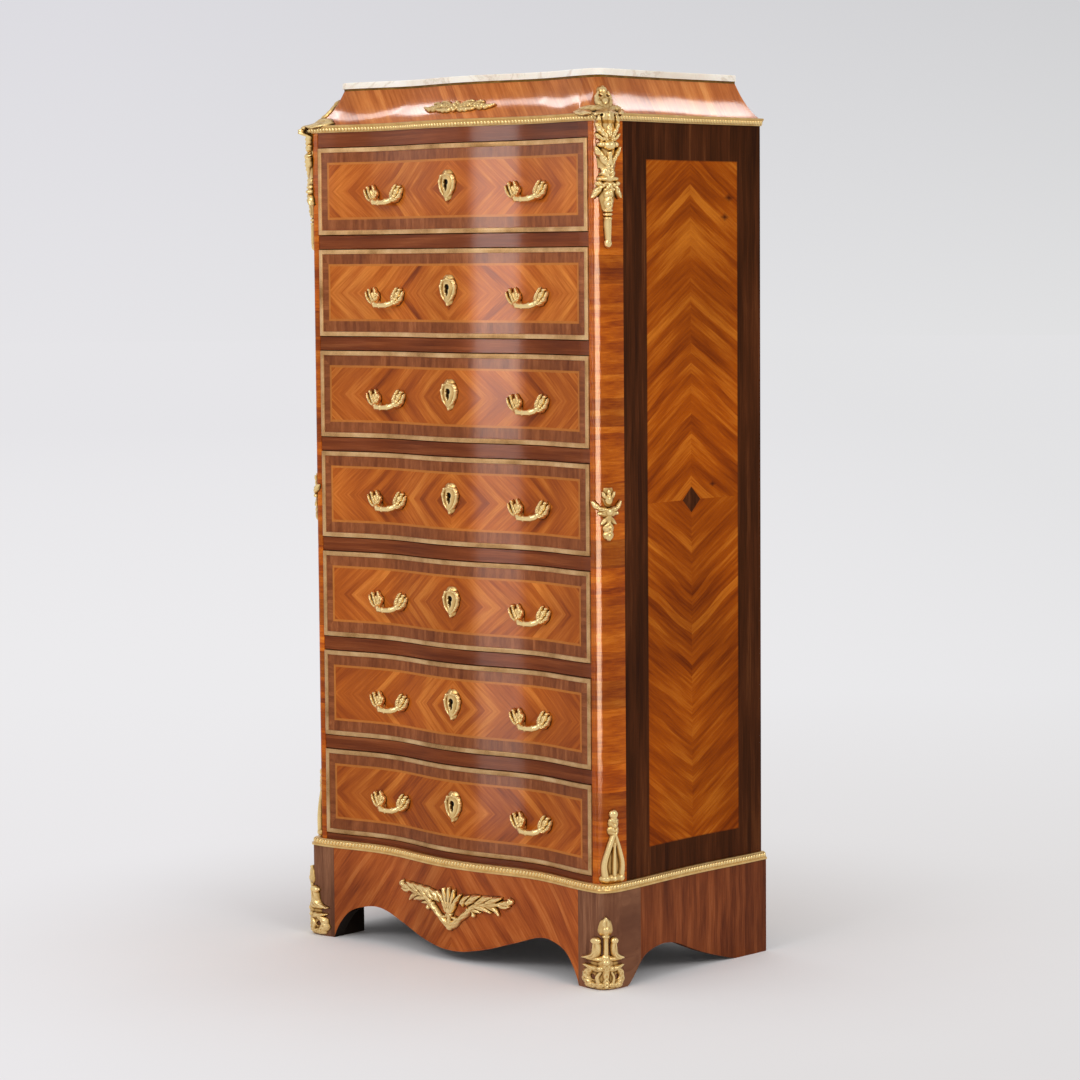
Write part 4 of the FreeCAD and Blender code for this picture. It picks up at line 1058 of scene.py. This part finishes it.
# drop-shaped frame round a tongue, under a ringed bud
LOWER_MOUNT = Relief(
    22, 0, 117,
    strokes=[
        ([(0, 10), (0, 34), (0, 62)], [30, 27, 13], 1.0),
        ([(1, 76), (5, 64), (9, 52), (13, 38), (14.5, 26), (13, 12)],
         [9, 9.5, 9.5, 9.5, 10, 12], 7.4, 0, 0.6),
        ([(0, 8), (14, 8)], [17, 17, 15], 6.0),
        ([(0, 14), (0, 34), (0, 62)], [9, 8, 6], 6.8, 0, 0.7),
        ([(0, 60), (0, 78)], [13, 15, 13], 6.2, 0, 1.0),
        ([(0, 76), (0, 88), (0, 102)], [15, 20, 18, 13], 7.2, 2, 0.9),
    ],
    beads=[
        ((12, 8), 7.0, 8.0), ((0, 8), 6.0, 8.0), ((0, 98), 8.6, 6.8, 0.45), ((0, 107), 7.2, 7.4, 1.1),
        ((0, 90), 5.2, 8.2),
    ],
)
# bud over a bar with two knobbed arms that flare out, and a lobed base with two eyes
FOOT_MOUNT = Relief(
    31, 0, 113,
    strokes=[
        ([(0, 84), (0, 95), (0, 110)], [12, 22, 18, 5], 6.4, 1, 0.8),
        ([(12, 76), (12, 66), (13, 56), (17, 49), (27, 46)], [11, 12, 11.5, 12, 5], 7.0, 1, 0.8),
        ([(6, 46), (22, 46)], [11, 8], 5.6),
        ([(0, 82), (0, 64), (0, 46)], [9, 9, 9.5], 5.6, 0, 0.5),
        ([(0, 48), (0, 38), (0, 28)], [18, 22, 19], 7.0, 1, 1.0),
        ([(0, 5), (0, 28)], [46, 46], 2.4),
        ([(4, 30), (14, 31), (26, 35)], [12, 11, 5], 6.4, 1, 0.8),
        ([(17, 30), (23, 24), (24, 14), (20, 6)], [9, 11, 12, 11], 6.4, 2, 0.8),
        ([(4, 6), (22, 5)], [11, 12], 5.6, 2, 0.5),
        ([(0, 34), (0, 16), (0, 4)], [14, 12, 12], 7.0, 2, 1.0),
        ([(7.5, 26), (11, 18), (10, 9)], [6, 6, 7], 5.4, 0, 0.5),
    ],
    beads=[
        ((0, 91), 6.4, 8.0, 1.3), ((0, 81), 5.6, 6.2, 0.7), ((12.5, 74), 6.2, 8.4), ((0, 41), 6.4, 9.0),
        ((7.5, 32), 4.6, 8.2),
    ],
    holes=[((16.5, 18), 2.6, 1.6, -10)],
)
# acanthus spray: a fan of petals where two stems cross, and a long leaf of broken lobes to each side
APRON_SPRAY = Relief(
    127, -40, 32, step=0.8,
    strokes=[
        ([(0, -33), (14, -23), (30, -11), (46, 2)], [15, 14, 12, 11], 7.0, 2, 0.8),
        ([(0, -10), (10, -17), (20, -18), (30, -14)], [9, 8, 7, 6], 6.2, 0, 0.5),
        ([(44, 3), (60, 9), (80, 12), (100, 15), (114, 19)], [13, 13, 12, 11, 9], 6.6, 3, 0.7),
        ([(26, 6), (32, 15), (42, 22)], [12, 12, 5], 7.4, 1, 1.0),
        ([(38, 10), (50, 18), (62, 24)], [13, 14, 5], 8.2, 1, 1.0),
        ([(56, 12), (70, 19), (84, 24)], [12, 13, 5], 6.8, 1, 1.0),
        ([(76, 15), (90, 20), (103, 25)], [11, 12, 5], 7.6, 1, 0.9),
        ([(38, 0), (52, 0), (64, -2)], [10, 10, 4], 5.6, 1, 0.7),
        ([(56, 6), (72, 4), (84, 0)], [11, 11, 4], 7.2, 1, 0.8),
        ([(76, 9), (90, 5), (98, -3)], [10, 10, 4], 5.8, 1, 0.7),
        ([(96, 14), (108, 11), (118, 13)], [9, 9, 5], 6.8, 1, 0.6),
        ([(104, 16), (114, 16), (122, 20), (118, 25)], [9, 9, 8, 6], 6.6, 2, 0.5),
        ([(46, 0), (50, -6)], [6, 5], 5.0),
        *(([(over * 0.35, -8), (over * 0.8, 8), (over + lean, tall)], [7, 10, 9, 5], 8.0, 2, 1.0)
          for over, lean, tall in ((0, 0, 30), (8, 4, 28), (16, 9, 22))),
        ([(0, -8), (0, -20), (0, -30)], [13, 10, 13], 7.0, 2, 0.6),
    ],
    beads=[((117, 20), 4.4, 8.0), ((50, -8), 4.2, 6.4), ((0, -6), 6.4, 9.6), ((0, -32), 7.2, 8.0)],
    holes=[((8.5, -13.5), 2.2), ((24, 0), 3.0, 2.4, -24)],
)
# long low spray: a rosette between two rows of overlapping leaves
CORNICE_SPRAY = Relief(
    80, -12, 12,
    strokes=[
        ([(4, -2), (20, 1), (36, 1), (52, -1), (64, -2), (76, 0)], [12, 13, 13, 11, 8, 4], 5.0, 6, 0.9),
        ([(10, -5), (24, -5), (40, -5)], [8, 8, 4], 4.4, 3, 0.6),
        ([(14, 3), (26, 7), (34, 7)], [8, 7, 3], 4.4, 2, 0.5),
        ([(36, 2), (46, 6), (54, 5)], [8, 7, 3], 4.2, 2, 0.5),
    ],
    beads=[((0, 0), 4.0, 7.0), ((30, 1), 3.4, 6.0), ((54, 0), 3.0, 5.4)],
)
for petal in range(6):
    angle = math.radians(60 * petal + 30)
    CORNICE_SPRAY.bead(False, (5.4 * math.cos(angle), 5.4 * math.sin(angle)), 3.6, 5.4)

CORNER_MOUNTS = (
    (36.0, UPPER_MOUNT, BODY_TOP - 187.0),
    (38.0, MIDDLE_MOUNT, (PLINTH_TOP + BODY_TOP) / 2 - 45.5),
    (30.0, LOWER_MOUNT, PLINTH_TOP + MOULDING_HEIGHT - 1.0),
)
pinned("corner_mounts_chased", "corner_mounts", [
    (relief, corner_place(turn, post_shape, side, bottom), side < 0)
    for side in (1, -1) for turn, relief, bottom in CORNER_MOUNTS
])
pinned("foot_mounts_chased", "foot_mounts", [
    (FOOT_MOUNT, corner_place(55.0, plinth_shape, side, 2.0), side < 0) for side in (1, -1)
])
APRON_PLACE = front_place(PLINTH_GROW, HALF + PLINTH_GROW - CORNER[0] - SHOULDER, PLINTH_TOP - 62.0)
pinned("apron_mount_chased", "apron_mount", [(APRON_SPRAY, APRON_PLACE, False)])
pinned("cornice_mount_chased", "cornice_mount", [(CORNICE_SPRAY, cove_place(COVE_FOOT + 20.0), False)])


# ---- drawer furniture
def pull_leaf(way):
    """Leaf cluster of a pull on one side: four plumes that rise from the knee of the grip."""
    crest = [10.0, 9.0, 7.0, 5.0]
    strokes = [
        ([(21, -4), (26, 3), (28, 9)], [13, 15, 9], 6.4),
        ([(23, -6), (21, 4), (23, 12), (26, 18)], [10, 10, 8, 4], crest, 3, 1.1),
        ([(25, -5), (30, 3), (34, 10), (36, 16)], [9, 9, 7, 4], crest, 3, 1.1),
        ([(26, -7), (34, -3), (40, 4), (43, 12)], [8, 8, 6, 3], crest, 3, 1.1),
        ([(21, -6), (18, 0), (17, 6), (18, 10)], [7, 6, 5, 3], crest, 3, 1.1),
    ]
    return Relief(
        48, -14, 24, step=0.6, mirror=False,
        strokes=[([(way * s, t) for s, t in line], *rest) for line, *rest in strokes],
        beads=[((way * 23, -4), 6.8, 12.0), ((way * 36, 15), 3.2, 7.0)],
    )


PULL_LEAVES = [pull_leaf(way) for way in (-1, 1)]
# cartouche round a keyhole: broad lobed shoulders that taper to a leaf tip
PLATE = Relief(
    21, -26, 25, step=0.6,
    strokes=[
        ([(0, -14), (0, 2), (0, 12)], [19, 33, 29], 5.6),
        ([(0, 18), (10, 15), (14.5, 7), (12.5, -4), (7, -13), (0, -18)], [6, 7, 7.5, 7, 6, 6], 5.4, 6),
        ([(0, 14), (0, 22)], [15, 13, 7], 5.4, 2, 0.8),
        ([(0, -12), (0, -23)], [13, 11, 5], 5.4, 2, 0.8),
    ],
    beads=[((14.6, 7), 3.6, 6.2), ((11, 15.5), 3.2, 6.0), ((11, -8), 3.0, 5.8), ((0, 18.5), 3.6, 6.8)],
    holes=[((0, KEYHOLE_RISE + 1.5), 4.4), ((0, KEYHOLE_RISE - 4.5), 2.9, 2.3)],
)


def tube(parts, points, radii, wear_and_shade, sides=12):
    """Round bar along a smooth line of space points."""
    line = smooth_line(points, 44)
    radius = along_line(np.linspace(0, 1, len(line)), radii)
    tangent = unit(np.gradient(line, axis=0))
    first = unit(np.cross(tangent, [0, 0, 1.0]))
    second = np.cross(tangent, first)
    angle = np.linspace(0, 2 * math.pi, sides, endpoint=False)[None, :, None]
    ring = first[:, None] * np.cos(angle) + second[:, None] * np.sin(angle)
    parts.loft(line[:, None] + ring * radius[:, None, None], wear_and_shade)


def drawer_pulls(middle):
    """Two pulls: leaves against the drawer front, and a drop grip between their knees."""
    parts = Parts()
    z = middle - HANDLE_DROP
    grip = GRIP_HALF + [GRIP_MIDDLE] + [(-a, b, c) for a, b, c in reversed(GRIP_HALF)]
    for way in (-1, 1):
        x0 = way * HANDLE_PLACE
        seat = float(hollow(x0, DRAWER_HALF))
        for leaf in PULL_LEAVES:
            leaf.build(parts, front_place(0.0, DRAWER_HALF, z, x0))
        tube(parts, [(x0 + a, seat + b, z + c) for a, b, c in grip], GRIP_RADII, 0.8)
        for place, depth, level, wide in GRIP_RINGS:
            ends = [(x0 + place + step, seat + depth, z + level) for step in (-2.0, 2.0)]
            tube(parts, ends, [wide - 1.4, wide, wide - 1.4], 0.85)
    return parts


def keyhole(middle):
    """Near-black block seen through the keyhole of the plate: painted shade in the stead of the dark hole
    into the lock.
    """
    parts = Parts()
    z = middle + ESCUTCHEON_RISE + KEYHOLE_RISE
    y = float(hollow(0.0, DRAWER_HALF))
    for half, low, high in KEYHOLE:
        parts.block(-half, half, y - 0.25, y + 0.5, z + low, z + high)
    return parts


def lock_case(number):
    """Lock in the back of the front, open along the channel of its bolt."""
    parts = Parts()
    low, high = node_box(f"drawer_{number}_bolt")
    back = node_box(f"drawer_{number}_handles_and_lock")[1][1] - FRONT
    top = drawer_foot(number) + DRAWER_HEIGHT
    foot = top - LOCK_HEIGHT
    b0, b1 = low[1] - FRONT - LOCK_GAP, high[1] - FRONT + LOCK_GAP
    x1 = high[0] + LOCK_GAP
    parts.block(-LOCK_HALF, LOCK_HALF, LOCK_FRONT, b0, foot, top)
    parts.block(-LOCK_HALF, LOCK_HALF, b1, back, foot, top)
    parts.block(-LOCK_HALF, -x1, b0, b1, foot, top)
    parts.block(x1, LOCK_HALF, b0, b1, foot, top)
    parts.block(-x1, x1, b0, b1, foot, low[2] - LOCK_GAP)
    return parts


for number in range(1, DRAWERS + 1):
    middle = drawer_foot(number) + DRAWER_HEIGHT / 2
    body = f"drawer_{number}"
    node = f"{body}_handles_and_lock"
    drawer_pulls(middle).piece(f"{body}_pulls", GILT, body, node, smooth_below=70.0)
    plate_place = front_place(0.0, DRAWER_HALF, middle + ESCUTCHEON_RISE)
    pinned(f"{body}_escutcheon", node, [(PLATE, plate_place, False)], body, edge=0.7)
    # painted shade: a near-black block behind the keyhole
    keyhole(middle).piece(f"{body}_keyhole", KEYHOLE_PAINTED_SHADE, body, node, smooth_below=30.0)
    lock_case(number).piece(f"{body}_lock", STEEL, body, node, smooth_below=30.0)


# ---- camera, light and floor
def make_camera():
    data = bpy.data.cameras.new("camera")
    data.lens = LENS
    data.sensor_width = 36.0
    data.clip_end = 100.0
    camera = bpy.data.objects.new("camera", data)
    camera.matrix_world = Matrix.Translation(CAMERA_PLACE)
    for degrees, axis in ((CAMERA_TURN, "Z"), (90 - CAMERA_DIP, "X"), (CAMERA_ROLL, "Z")):
        camera.matrix_world @= Matrix.Rotation(math.radians(degrees), 4, axis)
    bpy.context.collection.objects.link(camera)
    bpy.context.scene.camera = camera


def gathered(name, *finishes):
    """Collection of the frame nodes that carry those finishes, for a lamp that lights nothing else."""
    group = bpy.data.collections.new(name)
    for node, finish in NODE_FINISH.items():
        if finish in finishes:
            group.objects.link(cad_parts[node])
    return group


def softbox(name, place, aim, width, height, power, gloss_on=None, tint=(1.0, 1.0, 1.0), roll=0.0):
    """Square lamp. With gloss_on, only the sheen of that collection shows it."""
    data = bpy.data.lights.new(name, "AREA")
    data.shape = "RECTANGLE"
    data.size, data.size_y = width, height
    data.energy = power
    data.color = tint
    lamp = bpy.data.objects.new(name, data)
    lamp.location = place
    lamp.rotation_mode = "QUATERNION"
    turn = Quaternion((0.0, 0.0, 1.0), math.radians(roll))
    lamp.rotation_quaternion = (Vector(aim) - Vector(place)).to_track_quat("-Z", "Y") @ turn
    lamp.visible_camera = False
    if gloss_on:
        lamp.visible_diffuse = False
        lamp.light_linking.receiver_collection = gloss_on
    bpy.context.collection.objects.link(lamp)


def camera_directions():
    """Plan directions across and away from the camera."""
    turn = math.radians(CAMERA_TURN)
    return (math.cos(turn), math.sin(turn)), (-math.sin(turn), math.cos(turn))


def make_world(level):
    """Even light from all round; what is seen of it is a pale wall, a little darker to the upper right."""
    world = bpy.data.worlds.new("world")
    bpy.context.scene.world = world
    world.use_nodes = True
    g = Graph(world.node_tree, "Generated")
    sideways = (*camera_directions()[0], 0.0)
    beside = g.value("VectorMath", g.place, sideways, output="Value", operation="DOT_PRODUCT")
    up = g.span(g.z, -0.03, 0.08)
    left = g.mix(up, rgb(230, 229, 232), rgb(221, 220, 225))
    right = g.mix(up, rgb(226, 226, 227), rgb(209, 209, 211))
    wall = g.value("Background", g.mix(g.span(beside, -0.14, 0.16), left, right))
    light = g.value("Background", (1.0, 0.99, 0.98, 1.0), level)
    rays = g.node("LightPath").outputs
    seen = Value(g, rays["Is Camera Ray"])
    for ray in ("Is Glossy Ray", "Is Transmission Ray"):
        seen = g.math("MAXIMUM", seen, Value(g, rays[ray]))
    g.node("OutputWorld", g.value("MixShader", seen, light, wall))


def make_floor():
    """Round floor whose far part is as pale as the wall behind it."""
    f = Finish("floor")
    radius = f.math("SQRT", f.sum((f.x * f.x, 1.0), (f.y * f.y, 1.0)))
    dust = f.noise(f.place, scale=3.0, detail=3.0)
    paint = f.value("BsdfDiffuse", f.mix(dust, rgb(222, 220, 221), rgb(228, 226, 227)))
    beside, away = (f.sum((f.x, x), (f.y, y)) for x, y in camera_directions())
    glow = f.mix(f.span(beside, -0.7, 0.3), rgb(234, 232, 234), rgb(225, 222, 222))
    glow = f.mix(f.span(away, 0.5, 3.0), glow, rgb(236, 235, 237))
    glow = f.mix(f.span(away, 4.0, 16.0), glow, rgb(230, 229, 232))
    glow = f.mix(f.span(beside, 0.0, 2.5) * 0.7, glow, rgb(225, 225, 226))
    share = f.span(radius, 0.3, 1.15, smooth=True)
    f.node("OutputMaterial", f.value("MixShader", share, paint, f.value("Emission", glow)))
    mesh = bpy.data.meshes.new("floor")
    corners, reach = 64, 40
    turns = np.linspace(0, 2 * math.pi, corners, endpoint=False)
    ring = [(reach * math.cos(turn), reach * math.sin(turn), 0.0) for turn in turns]
    mesh.from_pydata(ring, [], [tuple(range(corners))])
    mesh.materials.append(f.material)
    floor = bpy.data.objects.new("floor", mesh)
    bpy.context.collection.objects.link(floor)


make_camera()
make_world(0.85)
make_floor()
BODY_VENEERS = gathered("body_veneers", DRAWER_FINISH, SIDE_FINISH, POST_FINISH, RAIL_FINISH, APRON_FINISH,
                        PLINTH_FINISH, FOOT_FINISH)
COVE_VENEERS = gathered("cove_veneers", CORNICE_FINISH)
softbox("front_box", (0.1, -3.9, 3.0), (0.0, 0.0, 0.7), 1.8, 1.4, 40.0)
softbox("side_box", (3.9, -0.6, 3.0), (0.0, 0.0, 0.7), 1.8, 1.4, 35.0)
softbox("front_gloss_high", (-0.37, -1.18, 1.48), (0.05, -0.18, 1.48), 0.22, 1.4, 19.0, BODY_VENEERS)
softbox("front_gloss_low", (-0.37, -1.18, 0.4), (0.05, -0.18, 0.4), 0.22, 0.76, 4.2, BODY_VENEERS)
softbox("left_haze", (-1.43, -1.21, 1.75), (-0.2, -0.18, 1.2), 1.2, 1.1, 10.0, BODY_VENEERS)
softbox("corner_gloss", (1.21, -1.95, 1.12), (0.30, -0.17, 1.12), 2.0, 2.2, 560.0, BODY_VENEERS,
        tint=(1.0, 0.84, 0.6))
softbox("cove_gloss_left", (-2.21, 0.12, 2.71), (0.0, -0.15, 1.36), 1.9, 0.4, 30.0, COVE_VENEERS, roll=38.0)
softbox("cove_gloss_front", (-1.39, -0.89, 3.43), (0.0, -0.15, 1.36), 1.7, 0.4, 28.0, COVE_VENEERS, roll=38.0)
softbox("cove_gloss_back", (0.44, 1.99, 3.1), (0.30, 0.03, 1.35), 1.0, 0.45, 19.0, COVE_VENEERS)
bpy.context.scene.view_settings.view_transform = "Standard"
